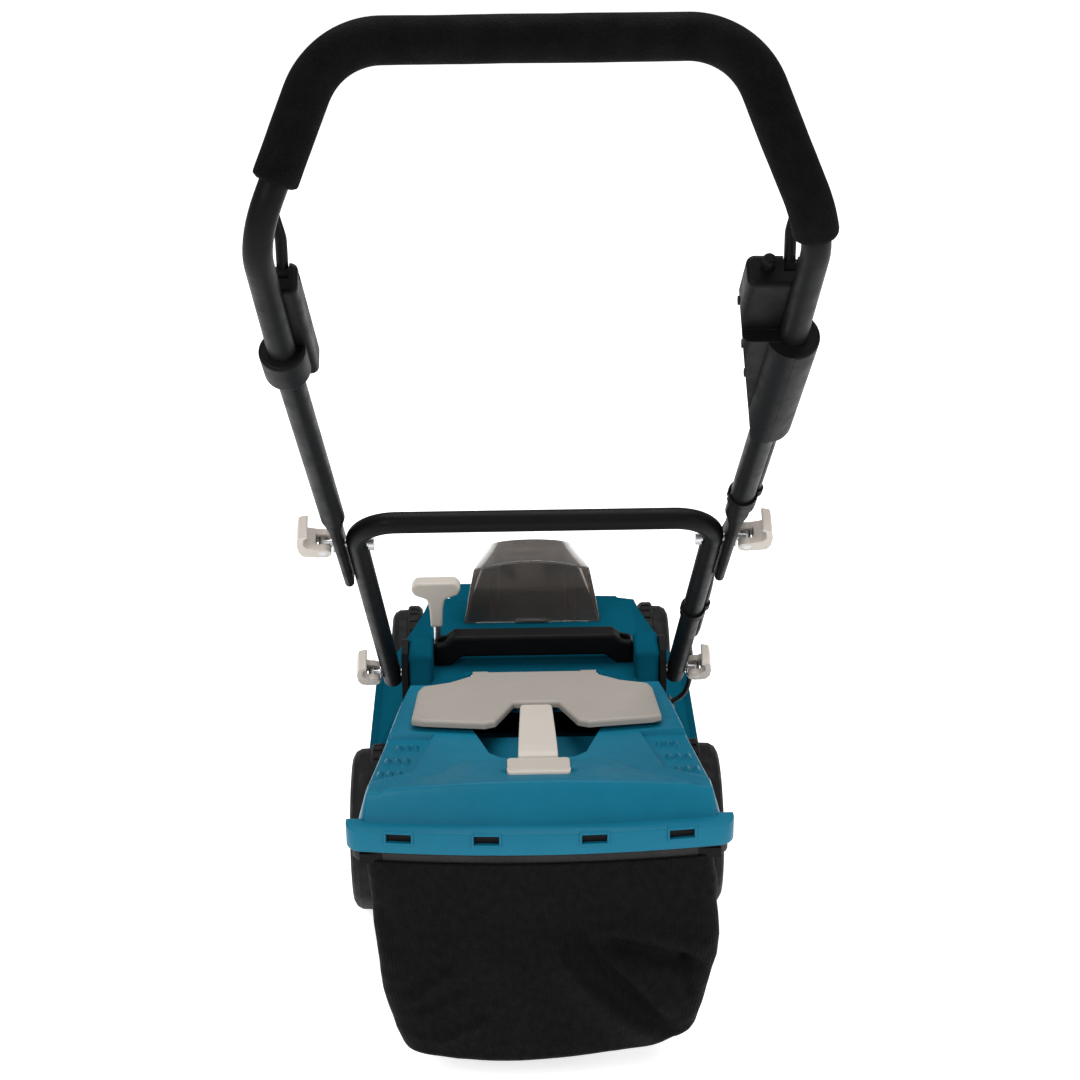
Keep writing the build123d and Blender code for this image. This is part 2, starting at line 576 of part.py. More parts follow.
def side(s, v):
    return Vector(s * v.X, v.Y, v.Z)


N1 = Vector(0, D1.Z, -D1.Y).normalized()  # forward and up, across the lower tube
NU = Vector(0, TU.Z, -TU.Y).normalized()  # the same across the upper tube
LOW_END = P0 - D1 * 16
CORNER = P0 + D1 * 359
FLAT_T, FLAT_W = 9.0, 27.0
S1 = J + TU * 60

with BuildPart() as lower_handle_tube:
    with BuildLine() as low_line:
        FilletPolyline(LOW_END, CORNER, mx(CORNER), mx(LOW_END), radius=[38, 38])
    with BuildSketch(Plane(origin=low_line.line @ 0, z_dir=low_line.line % 0)):
        Circle(LOW_R)
        Circle(LOW_R - TUBE_WALL, mode=Mode.SUBTRACT)
    sweep()
    for c in (P0, P1):
        with BuildSketch(Plane(origin=(-190, c.Y, c.Z), x_dir=(0, 1, 0), z_dir=(1, 0, 0))):
            Circle(BOLT_R + RUN)
        extrude(amount=380, mode=Mode.SUBTRACT)
save(lower_handle_tube, "lower_handle_tube")

UP_PTS = [S1, U2, U3, U4, mx(U4), mx(U3), mx(U2), mx(S1)]
UP_RADII = [150, 60, 58, 58, 60, 150]
with BuildPart() as upper_handle_tube:
    with BuildLine() as up_line:
        FilletPolyline(*UP_PTS, radius=UP_RADII)
    with BuildSketch(Plane(origin=up_line.line @ 0, z_dir=up_line.line % 0)):
        Circle(UP_R)
        Circle(UP_R - TUBE_WALL, mode=Mode.SUBTRACT)
    sweep()
    for s in (1, -1):
        t = side(s, TU)
        with BuildSketch(at(side(s, J - TU * 76), tuple(t))):
            SlotOverall(FLAT_W, FLAT_T, rotation=90)
        extrude(amount=110)
        with BuildSketch(at(side(s, J + TU * 34), tuple(t))):
            SlotOverall(FLAT_W, FLAT_T, rotation=90)
        with BuildSketch(at(side(s, S1), tuple(t))):
            Circle(UP_R)
        loft()
    with BuildSketch(Plane(origin=(-220, J.Y, J.Z), x_dir=(0, 1, 0), z_dir=(1, 0, 0))):
        Circle(BOLT_R + RUN)
    extrude(amount=440, mode=Mode.SUBTRACT)
save(upper_handle_tube, "upper_handle_tube")

up_wire = up_line.wire()
steps = [i / 2000 for i in range(2001)]
grip_start = next(t for t in steps if (up_wire @ t).Z > 876)
grip_end = max(t for t in steps if (up_wire @ t).Z > 919)
with BuildPart() as foam_grip:
    with BuildLine() as grip_line:
        add(up_wire.trim(grip_start, grip_end))
    with BuildSketch(Plane(origin=grip_line.line @ 0, z_dir=grip_line.line % 0)):
        Circle(FOAM_R)
        Circle(UP_R, mode=Mode.SUBTRACT)
    sweep()
save(foam_grip, "foam_grip")

# room for the upper tube in the housings clamped on it
with BuildPart() as tube_space:
    with BuildLine() as space_line:
        FilletPolyline(*[v for v in UP_PTS[:4]], radius=UP_RADII[:2])
    with BuildSketch(Plane(origin=space_line.line @ 0, z_dir=space_line.line % 0)):
        Circle(UP_R + 0.05)
    sweep()

BAIL_P = Vector(189, -430, 833)
BAIL_X0, BAIL_X1 = 183.2, 194.8


def up_plane(s):
    return at(J + TU * s, tuple(TU))


with BuildPart() as housing_right_hand:
    with BuildSketch(up_plane(348)):
        Circle(18.5)
    extrude(amount=36)
    fillet(housing_right_hand.edges().filter_by(GeomType.CIRCLE), 3)
    with BuildSketch(up_plane(334)):
        with Locations((-12, 17.5)):
            RectangleRounded(21, 27, 6)
    extrude(amount=130)
    fillet(housing_right_hand.faces().sort_by(Axis.Z)[-1].edges(), 4)
    add(tube_space.part, mode=Mode.SUBTRACT)
    with BuildSketch(up_plane(446)):
        with Locations(((BAIL_X0 + BAIL_X1) / 2 - (J + TU * 454).X, 37)):
            Rectangle(BAIL_X1 - BAIL_X0, 42)
    extrude(amount=40, mode=Mode.SUBTRACT)
    with BuildSketch(Plane(origin=(160, BAIL_P.Y, BAIL_P.Z), x_dir=(0, 1, 0), z_dir=(1, 0, 0))):
        Circle(BOLT_R + RUN)
    extrude(amount=50, mode=Mode.SUBTRACT)
with BuildPart() as left_lever_housing:
    mirror(housing_right_hand.part, about=Plane.YZ)
save(left_lever_housing, "left_lever_housing")

SCREWS = [Vector((J + TU * 300).X - 11.5 - 0.129 * (s - 210) - 1.4, (J + TU * s + NU * 17).Y, (J + TU * s + NU * 17).Z) for s in (300, 350, 420)]
with BuildPart() as switch_box_inner:
    with BuildSketch(up_plane(245)):
        with BuildLine():
            CenterArc((0, 0), 21, 90, 180)
            Line((0, 21), (0, -21))
        make_face()
    extrude(amount=151)
    with BuildSketch(up_plane(245)):
        with Locations((-20.1, 11)):
            RectangleRounded(40, 36, 7)
    extrude(amount=151.5)
    with BuildSketch(up_plane(396.2)):
        with Locations((-22, 17.5)):
            RectangleRounded(44, 27, 7)
    extrude(amount=68)
    fillet(switch_box_inner.faces().sort_by(Axis.Z)[-1].edges(), 4)
    # the box gets narrower to its lower end
    with BuildSketch(at(J + TU * 300 + NU * 60, tuple(NU * -1), (0, TU.Y, TU.Z))):
        Polygon((-90, 11.5), (-90, 70), (175, 70), (175, 45.7), align=None)
    extrude(amount=120, mode=Mode.SUBTRACT)
    add(tube_space.part, mode=Mode.SUBTRACT)
    with BuildSketch(up_plane(446)):
        with Locations(((BAIL_X0 + BAIL_X1) / 2 - (J + TU * 454).X, 37)):
            Rectangle(BAIL_X1 - BAIL_X0, 42)
    extrude(amount=40, mode=Mode.SUBTRACT)
    with BuildSketch(Plane(origin=(176, BAIL_P.Y, BAIL_P.Z), x_dir=(0, 1, 0), z_dir=(1, 0, 0))):
        Circle(BOLT_R + RUN)
    extrude(amount=40, mode=Mode.SUBTRACT)
    # well of the lock-off button
    with BuildSketch(up_plane(448)):
        with Locations((-28.5, 20)):
            Circle(5 + RUN)
    extrude(amount=40, mode=Mode.SUBTRACT)
    # seats of the three screw heads
    for c in SCREWS:
        with BuildSketch(Plane(origin=tuple(c), x_dir=(0, 1, 0), z_dir=(1, 0, 0))):
            Circle(3.8)
        extrude(amount=2.1, mode=Mode.SUBTRACT)
save(switch_box_inner, "switch_box_inner")

with BuildPart() as switch_box_outer:
    with BuildSketch(up_plane(245)):
        with BuildLine():
            CenterArc((0.15, 0), 21, -90, 180)
            Line((0.15, 21), (0.15, -21))
        make_face()
    extrude(amount=151)
    fillet(switch_box_outer.edges().filter_by(GeomType.CIRCLE), 3)
    add(tube_space.part, mode=Mode.SUBTRACT)
save(switch_box_outer, "switch_box_outer")

with BuildPart() as switch_box_screws:
    for c in SCREWS:
        with BuildSketch(Plane(origin=tuple(c), x_dir=(0, 1, 0), z_dir=(1, 0, 0))):
            Circle(3.6)
            RegularPolygon(1.8, 6, mode=Mode.SUBTRACT)
        extrude(amount=2)
save(switch_box_screws, "switch_box_screws")

LOCK_C = J + TU * 452.5 + Vector(1, 0, 0) * -28.5 + NU * 20
with BuildPart() as lock_off_button:
    with BuildSketch(up_plane(453)):
        with Locations((-28.5, 20)):
            Circle(5)
    extrude(amount=24)
    fillet(lock_off_button.faces().sort_by(Axis.Z)[-1].edges(), 2)
save(lock_off_button, "lock_off_button")

B1 = Vector(189, -430.5, 862)
B2 = Vector(198.5, -427, 897)
B3 = Vector(144, -412, 1001)
with BuildPart() as switch_bail:
    with BuildLine() as bail_line:
        FilletPolyline(BAIL_P, B1, B2, B3, mx(B3), mx(B2), mx(B1), mx(BAIL_P), radius=[20, 28, 55, 55, 28, 20])
    with BuildSketch(Plane(origin=bail_line.line @ 0, z_dir=bail_line.line % 0)):
        Circle(4.5)
    sweep()
    for s in (1, -1):
        with BuildSketch(Plane(origin=(BAIL_X0 + 0.4 if s > 0 else -BAIL_X1 + 0.4, BAIL_P.Y, BAIL_P.Z), x_dir=(0, 1, 0),
                               z_dir=(1, 0, 0))):
            Circle(6.8)
        extrude(amount=BAIL_X1 - BAIL_X0 - 0.8)
        with BuildSketch(Plane(origin=(178 if s > 0 else -200, BAIL_P.Y, BAIL_P.Z), x_dir=(0, 1, 0), z_dir=(1, 0, 0))):
            Circle(BOLT_R)
        extrude(amount=22)
save(switch_bail, "switch_bail")


# --------------------------------------------------------- bolts and cam levers
LOW_BAR = 170.5  # X of the cross pin the lower levers turn on
UP_BAR = 196.5


with BuildPart() as lower_pivot_bolts:
    for s in (1, -1):
        with BuildSketch(Plane(origin=(s * 112, P0.Y, P0.Z), x_dir=(0, 1, 0), z_dir=(s, 0, 0))):
            Circle(BOLT_R)
        extrude(amount=LOW_BAR - 112)
        with BuildSketch(Plane(origin=(s * 160.9, P0.Y, P0.Z), x_dir=(0, 1, 0), z_dir=(s, 0, 0))):
            Circle(9)
        extrude(amount=1.1)
        with BuildSketch(at(Vector(s * LOW_BAR, P0.Y, P0.Z) - N1 * 11, tuple(N1))):
            Circle(BOLT_R)
        extrude(amount=22)
save(lower_pivot_bolts, "lower_pivot_bolts")

with BuildPart() as joint_bolts:
    for s in (1, -1):
        with BuildSketch(Plane(origin=(s * 149, P1.Y, P1.Z), x_dir=(0, 1, 0), z_dir=(s, 0, 0))):
            Circle(BOLT_R)
        extrude(amount=UP_BAR - 149)
        with BuildSketch(Plane(origin=(s * 149, P1.Y, P1.Z), x_dir=(0, 1, 0), z_dir=(s, 0, 0))):
            Circle(7)
        extrude(amount=5.2)
        with BuildSketch(Plane(origin=(s * 185.4, P1.Y, P1.Z), x_dir=(0, 1, 0), z_dir=(s, 0, 0))):
            Circle(9)
        extrude(amount=1.8)
        with BuildSketch(at(Vector(s * UP_BAR, P1.Y, P1.Z) - N1 * 11, tuple(N1))):
            Circle(BOLT_R)
        extrude(amount=22)
save(joint_bolts, "joint_bolts")


def cam_lever(s, x, c, po, name):
    """Paddle along the tube, forked round the bolt, turning on the cross pin."""
    t = Vector(0, D1.Y, D1.Z).normalized()
    n = Vector(s, 0, 0).cross(t)
    o = Vector(s * x, c.Y, c.Z)
    pl = Plane(origin=tuple(o - n * 11), x_dir=(s, 0, 0), z_dir=tuple(n))
    with BuildPart() as lever:
        with BuildSketch(pl):
            Circle(8.2)
            with BuildLine():
                FilletPolyline((-2, -8), (6, -8), (po - 3, -6), (po, 3), (po + 0.5, 18), (po - 2.5, 34), (po - 10.5, 37.5),
                               (po - 11, 34), (po - 7, 29.5), (po - 5.5, 18), (po - 8, 12), (2, 8), (-3, 7),
                               radius=[1, 3, 4, 5, 10, 5, 1.5, 1.5, 4, 6, 3, 2, 1], close=True)
            make_face()
        extrude(amount=22)
        with BuildSketch(Plane(origin=tuple(o - n * 5), x_dir=(s, 0, 0), z_dir=tuple(n))):
            Polygon((-14, -16), (6, -16), (6, 13), (-14, 13), align=None)
        extrude(amount=10, mode=Mode.SUBTRACT)
        with BuildSketch(pl):
            Circle(BOLT_R + RUN)
        extrude(amount=22, mode=Mode.SUBTRACT)
    save(lever, name)


cam_lever(1, UP_BAR, P1, 22, "upper_right_cam_lever")
cam_lever(-1, UP_BAR, P1, 22, "upper_left_cam_lever")
cam_lever(1, LOW_BAR, P0, 14.5, "lower_right_cam_lever")
cam_lever(-1, LOW_BAR, P0, 14.5, "lower_left_cam_lever")

for s, name in ((1, "right_pivot_bracket"), (-1, "left_pivot_bracket")):
    with BuildPart() as bracket:
        with BuildSketch(Plane(origin=(TOWER_X1 if s > 0 else -TOWER_X1 - 6.6, 0, 0), x_dir=(0, 1, 0), z_dir=(1, 0, 0))):
            with BuildLine():
                FilletPolyline((44, 186), (44, 258), (54, 268), (80, 272), (92, 262), (96, 240), (92, 186),
                               radius=[3, 8, 6, 8, 8, 12, 3], close=True)
            make_face()
            with Locations((P0.Y, P0.Z)):
                Circle(BOLT_R, mode=Mode.SUBTRACT)
        extrude(amount=6.6)
    save(bracket, name)

# ---------------------------------------------------------------------- cable
CABLE_R = 2.75


def on_upper(s, x, y):
    return J + TU * s + Vector(1, 0, 0) * x + NU * y


def on_lower(s, x, y):
    return P0 + D1 * s + Vector(1, 0, 0) * x + N1 * y


def bends(pts):
    """Radius of each bend of a cable: as large as its two runs allow."""
    radii = []
    for a, b, c in zip(pts, pts[1:], pts[2:]):
        turn = (b - a).get_angle(c - b)
        radii.append(0.45 * min((b - a).length, (c - b).length) / tan(radians(turn / 2)))
    print("cable bends", [round(r, 1) for r in radii])
    return radii


with BuildPart() as upper_cable:
    with BuildLine() as run:
        Line(on_upper(244.0, 13.8, 5.5), on_upper(66, 13.8, 5.5))
    with BuildSketch(Plane(origin=run.line @ 0, z_dir=run.line % 0)):
        Circle(CABLE_R)
    sweep()
save(upper_cable, "upper_cable")

with BuildPart() as cable_joint_loop:
    with BuildLine() as run:
        pts = [on_upper(65.9, 13.8, 5.5), on_upper(42, 13.8, 5.5), on_upper(8, 10, 27), on_upper(-38, 4, 30),
               on_upper(-80, -2, 23), on_lower(204, 12.9, 5.4), on_lower(178, 12.9, 5.4)]
        FilletPolyline(*pts, radius=bends(pts))
    with BuildSketch(Plane(origin=run.line @ 0, z_dir=run.line % 0)):
        Circle(CABLE_R)
    sweep()
save(cable_joint_loop, "cable_joint_loop")

with BuildPart() as lower_cable:
    with BuildLine() as run:
        Line(on_lower(177.9, 12.9, 5.4), on_lower(100, 12.9, 5.4))
    with BuildSketch(Plane(origin=run.line @ 0, z_dir=run.line % 0)):
        Circle(CABLE_R)
    sweep()
save(lower_cable, "lower_cable")

with BuildPart() as cable_pivot_loop:
    with BuildLine() as run:
        pts = [on_lower(99.9, 12.9, 5.4), on_lower(72, 12.9, 5.4), on_lower(36, 11.5, 24), on_lower(4, 14, 33),
               Vector(169.5, 106, 231), Vector(170, 117, 199), GROMMET_P + GROMMET_D * 25, GROMMET_P + GROMMET_D * 3]
        FilletPolyline(*pts, radius=bends(pts))
    with BuildSketch(Plane(origin=run.line @ 0, z_dir=run.line % 0)):
        Circle(CABLE_R)
    sweep()
save(cable_pivot_loop, "cable_pivot_loop")

with BuildPart() as cable_grommet:
    with BuildSketch(at(GROMMET_P - GROMMET_D * 9, tuple(GROMMET_D))):
        Circle(6)
    extrude(amount=18)
    with BuildSketch(at(GROMMET_P + GROMMET_D * 8, tuple(GROMMET_D))):
        Circle(8)
    extrude(amount=3.5)
    with BuildSketch(at(GROMMET_P - GROMMET_D * 10, tuple(GROMMET_D))):
        Circle(CABLE_R + 0.6)
    extrude(amount=30, mode=Mode.SUBTRACT)
save(cable_grommet, "cable_grommet")


def clip(plane, tube_r, cx, cy, name):
    with BuildPart() as body:
        with BuildSketch(plane):
            Circle(tube_r + 2.4)
            with Locations((cx, cy)):
                Circle(CABLE_R + 2.2)
            Circle(tube_r + 0.05, mode=Mode.SUBTRACT)
            with Locations((cx, cy)):
                Circle(CABLE_R + 0.05, mode=Mode.SUBTRACT)
            with Locations((-tube_r - 1, 0)):
                Rectangle(6, 3, mode=Mode.SUBTRACT)
        extrude(amount=10)
    save(body, name)


clip(up_plane(90), UP_R, 13.8, 5.5, "upper_cable_clip")
clip(at(P0 + D1 * 148, tuple(D1)), LOW_R, 12.9, 5.4, "lower_cable_clip")

# -------------------------------------------------------------- battery cover
def dome_arch(y, t, i):
    """Section of the cover across its length; it narrows and bends more to the front."""
    ax, bx, bz, cz = 76 - 15 * t - i, 66 - 20 * t - i, 300 - 38 * t - 0.8 * i, 306 - 10 * t - i
    with BuildSketch(Plane.XZ.offset(-y)) as section:
        with BuildLine():
            Polyline((-bx, bz), (-ax, 236.5), (ax, 236.5), (bx, bz))
            ThreePointArc((bx, bz), (0, cz), (-bx, bz))
        make_face()
    return section.sketch


def dome_side(i):
    return [(186 + i, 236.5), (200.5 + i, 308 - i), (262 - 0.4 * i, 303.5 - i), (300 - 0.6 * i, 281 - i), (335 - i, 259 - 0.6 * i),
            (338 - i, 236.5)]


def dome(i):
    with BuildPart() as shape:
        add(dome_arch(180, 0, i))
        add(dome_arch(345, 1, i))
        loft(ruled=True)
        with BuildSketch(Plane(origin=(-90, 0, 0), x_dir=(0, 1, 0), z_dir=(1, 0, 0))):
            Polygon(*dome_side(i), align=None)
        extrude(amount=180, mode=Mode.INTERSECT)
        if i == 0:
            fillet(shape.edges().filter_by(lambda e: e.center().Z > 240), 2.0)
    return shape.part


dome_hollow = dome(2.6)
with BuildPart() as battery_cover:
    add(dome(0))
    add(dome_hollow, mode=Mode.SUBTRACT)
    with BuildSketch(Plane(origin=(-33, 0, 0), x_dir=(0, 1, 0), z_dir=(1, 0, 0))):
        Polygon((336.4, 240), (336.2, 247), (COVER_HINGE[0], 247), (COVER_HINGE[0], 240), align=None)
    extrude(amount=66)
    with BuildSketch(Plane(origin=(-35, *COVER_HINGE), x_dir=(0, 1, 0), z_dir=(1, 0, 0))):
        Circle(5)
    extrude(amount=70)
    with BuildSketch(Plane(origin=(-43.5, *COVER_HINGE), x_dir=(0, 1, 0), z_dir=(1, 0, 0))):
        Circle(3)
    extrude(amount=87)
    # finger lip at the back
    with BuildSketch(Plane(origin=(-18, 0, 0), x_dir=(0, 1, 0), z_dir=(1, 0, 0))):
        Polygon((188, 241), (183, 240), (183, 237.5), (188, 237.5), align=None)
    extrude(amount=36)
save(battery_cover, "battery_cover")

# ------------------------------------------------------------------- rear flap
FA = radians(FLAP_SLOPE)
FLAP_PLANE = Plane(origin=(0, 28, 258), x_dir=(1, 0, 0), z_dir=(0, sin(FA), cos(FA)))
FLAP_OUT = [(62, 1), (64.6, -1), (65, -10), (88, -32), (115, -44), (119, -58), (122, -146), (112, -152), (50, -163), (40, -157), (22, -100)]
with BuildPart() as rear_flap:
    with BuildSketch(FLAP_PLANE.offset(-7)):
        Polygon(*both(FLAP_OUT), align=None)
    extrude(amount=7)
    fillet(rear_flap.edges().filter_by(lambda e: abs((e @ 0 - e @ 1).normalized().dot(FLAP_PLANE.z_dir)) > 0.99), 3)
    fillet(rear_flap.faces().sort_by(SortBy.AREA)[-2:].sort_by(Axis.Z)[-1].edges(), 3.5)
    with BuildSketch(FLAP_PLANE.offset(-7)):
        Polygon(*both([(60, -12), (61, -14), (86, -36), (112.5, -48), (115.5, -59), (118.4, -143.4), (111, -148.2), (51, -158.8),
                       (43, -154), (25, -96)]), align=None)
    extrude(amount=4, mode=Mode.SUBTRACT)
    # ribs under the flap
    with BuildSketch(FLAP_PLANE.offset(-6)):
        with Locations((-70, -90), (70, -90)):
            Rectangle(3, 110)
        with Locations((0, -80)):
            Rectangle(230, 3)
    extrude(amount=4)
    # room for the springs
    for s in (1, -1):
        with BuildSketch(Plane(origin=(28.5 if s > 0 else -48, *FLAP_HINGE), x_dir=(0, 1, 0), z_dir=(1, 0, 0))):
            Circle(5.6)
        extrude(amount=19.5, mode=Mode.SUBTRACT)
    # hinge arms
    for s in (1, -1):
        with BuildSketch(Plane(origin=(48 if s > 0 else -64, 0, 0), x_dir=(0, 1, 0), z_dir=(1, 0, 0))):
            with Locations(FLAP_HINGE):
                Circle(6)
            Polygon((30, 256.9), (-26, 266.6), (-26, 261.2), (13.5, 254.2), (20, 250.5), (25, 246.5), align=None)
        extrude(amount=16)
    with BuildSketch(Plane(origin=(-72, *FLAP_HINGE), x_dir=(0, 1, 0), z_dir=(1, 0, 0))):
        Circle(3.0 + RUN)
    extrude(amount=144, mode=Mode.SUBTRACT)
save(rear_flap, "rear_flap")

with BuildPart() as flap_rod:
    with BuildSketch(Plane(origin=(-72.5, *FLAP_HINGE), x_dir=(0, 1, 0), z_dir=(1, 0, 0))):
        Circle(3.0)
    extrude(amount=145)
save(flap_rod, "flap_rod")

with BuildPart() as flap_springs:
    for s in (1, -1):
        x0 = 30 if s > 0 else -46
        with BuildSketch(Plane(origin=(0, FLAP_HINGE[0], FLAP_HINGE[1]), x_dir=(1, 0, 0), z_dir=(0, 0, 1))):
            Polygon(*([(x0, 3.1)] + [(x0 + 1.0 * i, 5.0 if i % 2 else 4.0) for i in range(17)] + [(x0 + 16, 3.1)]), align=None)
        revolve(axis=Axis((0, FLAP_HINGE[0], FLAP_HINGE[1]), (1, 0, 0)))
        with BuildSketch(Plane(origin=(x0 + 1, 0, 0), x_dir=(0, 1, 0), z_dir=(1, 0, 0))):
            Polygon((29, 247.8), (29, 246), (44, 236.5), (46, 236.2), (46, 238), align=None)
        extrude(amount=1.8)
save(flap_springs, "flap_springs")

# ------------------------------------------------------------------- grass box
def lid_z(y):
    return LID_Z0 + LID_SLOPE * (LID_FRONT - y)


def crest_z(y):
    # the middle of the top rises further towards the crest
    return lid_z(y) + CREST_SLOPE * max(0.0, CREST_FRONT - y)


LID_HALF = [(128, LID_FRONT), (148, -137), (165, -252), (168, LID_REAR)]
LID_IN = [(124.6, LID_FRONT - 3.5), (144.5, -137), (161.4, -252), (164.3, LID_REAR + 3.5)]
SKIRT_LID = 240.0
LID_WALL_TOP = 262.0    # above this the walls lean in
LID_LEAN = 0.546        # inwards at the back for each unit of height
LID_LEAN_X = 0.27       # the same at the sides
CREST_FRONT, CREST_REAR, CREST_SLOPE = -210.0, -283.4, 0.116
SLOTS_X = (-127.5, -48.5, 48.5, 127.5)
POCKET = [(66, -95), (66, -108), (46, -186), (34, -199.5)]
POCKET_FLOOR = 257.0
INDICATOR_Y = -245.5
INDICATOR_Z = crest_z(INDICATOR_Y) + 2.2


def lid_solid(half, front, drop):
    with BuildPart() as solid:
        with BuildSketch(Plane.XY.offset(230)):
            Polygon(*both(half), align=None)
        extrude(amount=LID_WALL_TOP - 230)
        lean = [(x - 50 * LID_LEAN_X, y) for x, y in half]
        lean[-1] = (lean[-1][0], half[-1][1] + 50 * LID_LEAN)
        with BuildSketch(Plane.XY.offset(LID_WALL_TOP)):
            Polygon(*both(half), align=None)
        with BuildSketch(Plane.XY.offset(LID_WALL_TOP + 50)):
            Polygon(*both(lean), align=None)
        loft(ruled=True)
        with BuildSketch(Plane(origin=(-185, 0, 0), x_dir=(0, 1, 0), z_dir=(1, 0, 0))):
            Polygon((front, SKIRT_LID), (front, lid_z(front) - drop), (-330, lid_z(-330) - drop), (-330, SKIRT_LID), align=None)
        extrude(amount=370, mode=Mode.INTERSECT)
    return solid.part


lid_outer = lid_solid(LID_HALF, LID_FRONT, 0.0)
lid_hollow = lid_solid(LID_IN, LID_FRONT - 3.5, 3.6)

with BuildPart() as lid_crest:
    with BuildSketch(Plane(origin=(-130, 0, 0), x_dir=(0, 1, 0), z_dir=(1, 0, 0))):
        Polygon((CREST_FRONT, lid_z(CREST_FRONT)), (CREST_REAR, crest_z(CREST_REAR)), (-296, 284), (-284, 284), (CREST_FRONT - 6, lid_z(CREST_FRONT) - 3),
                align=None)
    extrude(amount=260)
    with BuildSketch(Plane.XY.offset(270)):
        Polygon(*both([(73, CREST_FRONT + 2), (73, CREST_FRONT - 4), (116, -300)]), align=None)
    extrude(amount=60, mode=Mode.INTERSECT)

with BuildPart() as lid_tub:
    with BuildSketch(Plane.XY.offset(POCKET_FLOOR - 3)):
        Polygon(*both([(69, -92), (69, -108.4), (48.8, -187.3), (35.3, -202.5)]), align=None)
    extrude(amount=60)
    add(lid_outer, mode=Mode.INTERSECT)

with BuildPart() as grass_box_lid:
    add(lid_outer)
    with BuildSketch(Plane.XY.offset(RIM_Z0)):
        with BuildLine():
            FilletPolyline((176, -292), (176, RIM_Y), (-176, RIM_Y), (-176, -292), radius=[4, 13, 13, 4], close=True)
        make_face()
    extrude(amount=RIM_Z1 - RIM_Z0)
    fillet(grass_box_lid.edges().filter_by(lambda e: e.center().Y < -300 and (abs(e.center().Z - RIM_Z0) < 0.1
                                           or abs(e.center().Z - RIM_Z1) < 0.1) and (e.center().Y < -309 or abs(e.center().X) > 174)), 2.5)
    add(lid_hollow, mode=Mode.SUBTRACT)
    add(lid_crest.part)
    add(lid_tub.part)
    with BuildSketch(Plane.XY.offset(POCKET_FLOOR)):
        Polygon(*both(POCKET), align=None)
    extrude(amount=60, mode=Mode.SUBTRACT)
    # raised frames around the four slots, the slots, and room for the hooks behind them
    with BuildSketch(Plane.XZ.offset(-RIM_Y)):
        with Locations(*[(x, 268) for x in SLOTS_X]):
            RectangleRounded(28, 14, 3)
    extrude(amount=1.2)
    with BuildSketch(Plane.XZ.offset(-RIM_Y + 3)):
        with Locations(*[(x, 268) for x in SLOTS_X]):
            RectangleRounded(23, 9, 2)
    extrude(amount=-18, mode=Mode.SUBTRACT)
    with BuildSketch(Plane.XZ.offset(299)):
        with Locations(*[(x, 255.5) for x in SLOTS_X]):
            Rectangle(21, 34)
    extrude(amount=5.5, mode=Mode.SUBTRACT)
    # opening and ears of the fill indicator
    with BuildSketch(Plane.XY.offset(270)):
        with Locations((0, -226)):
            RectangleRounded(42, 16, 3)
    extrude(amount=40, mode=Mode.SUBTRACT)
    for s in (1, -1):
        with BuildSketch(Plane(origin=(29.6 if s > 0 else -33.6, INDICATOR_Y, INDICATOR_Z), x_dir=(0, 1, 0), z_dir=(1, 0, 0))):
            Polygon((3.5, -5.2), (3.2, 1), (1.5, 2.4), (-1.5, 2.4), (-4.5, -0.2), (-6.5, -4), align=None)
        extrude(amount=4)
    with BuildSketch(Plane(origin=(-36, INDICATOR_Y, INDICATOR_Z), x_dir=(0, 1, 0), z_dir=(1, 0, 0))):
        Circle(1.2 + RUN)
    extrude(amount=72, mode=Mode.SUBTRACT)
save(grass_box_lid, "grass_box_lid")

with BuildPart() as box_handle:
    with BuildSketch(Plane(origin=(-19, 0, 0), x_dir=(0, 1, 0), z_dir=(1, 0, 0))):
        with BuildLine():
            a = Polyline((-200.2, lid_z(-200.2)), (-203.4, lid_z(-203.4)), (-204.4, lid_z(-203.4) + 2), (-202.6, lid_z(-203.4) + 4))
            b = Spline(a @ 1, (-180, 291.4), (-150, 286), (-120, 276.4), (-101, 267.5), tangents=[(1, 0.08), (1, -0.9)])
            c = Polyline(b @ 1, (-95, 259.5), (-95, 257), (-101, 257), (-105, 262))
            d = Spline(c @ 1, (-122, 270.8), (-150, 280.2), (-178, 285.4), (-196.6, 285.6), tangents=[(-1, 0.8), (-1, 0)])
            Line(d @ 1, (-200.2, lid_z(-200.2)))
        make_face()
    extrude(amount=38)
    # narrower to the front
    for s in (1, -1):
        with BuildSketch(Plane.XY.offset(250)):
            Polygon((s * 16, -90), (s * 16.2, -110), (s * 19.1, -206), (s * 30, -206), (s * 30, -90), align=None)
        extrude(amount=60, mode=Mode.SUBTRACT)
save(box_handle, "box_handle")

with BuildPart() as fill_indicator:
    with BuildSketch(Plane(origin=(-29, 0, 0), x_dir=(0, 1, 0), z_dir=(1, 0, 0))):
        top = [(y, crest_z(y)) for y in (INDICATOR_Y + 1, INDICATOR_Y - 1.7, INDICATOR_Y - 1.7, INDICATOR_Y - 0.5, -211, -209, -208, -209.5)]
        Polygon(*[(y, z + h) for (y, z), h in zip(top, (0.4, 2.2, 4, 4.4, 4.4, 3.8, 2.2, 0.5))], align=None)
    extrude(amount=58)
    with BuildSketch(Plane(origin=(-33, INDICATOR_Y, INDICATOR_Z), x_dir=(0, 1, 0), z_dir=(1, 0, 0))):
        Circle(1.2)
    extrude(amount=66)
    with BuildSketch(Plane.XY.offset(280)):
        for s in (1, -1):
            Polygon((s * 24.5, -206), (s * 29.2, -216), (s * 40, -216), (s * 40, -206), align=None)
    extrude(amount=40, mode=Mode.SUBTRACT)
save(fill_indicator, "fill_indicator")

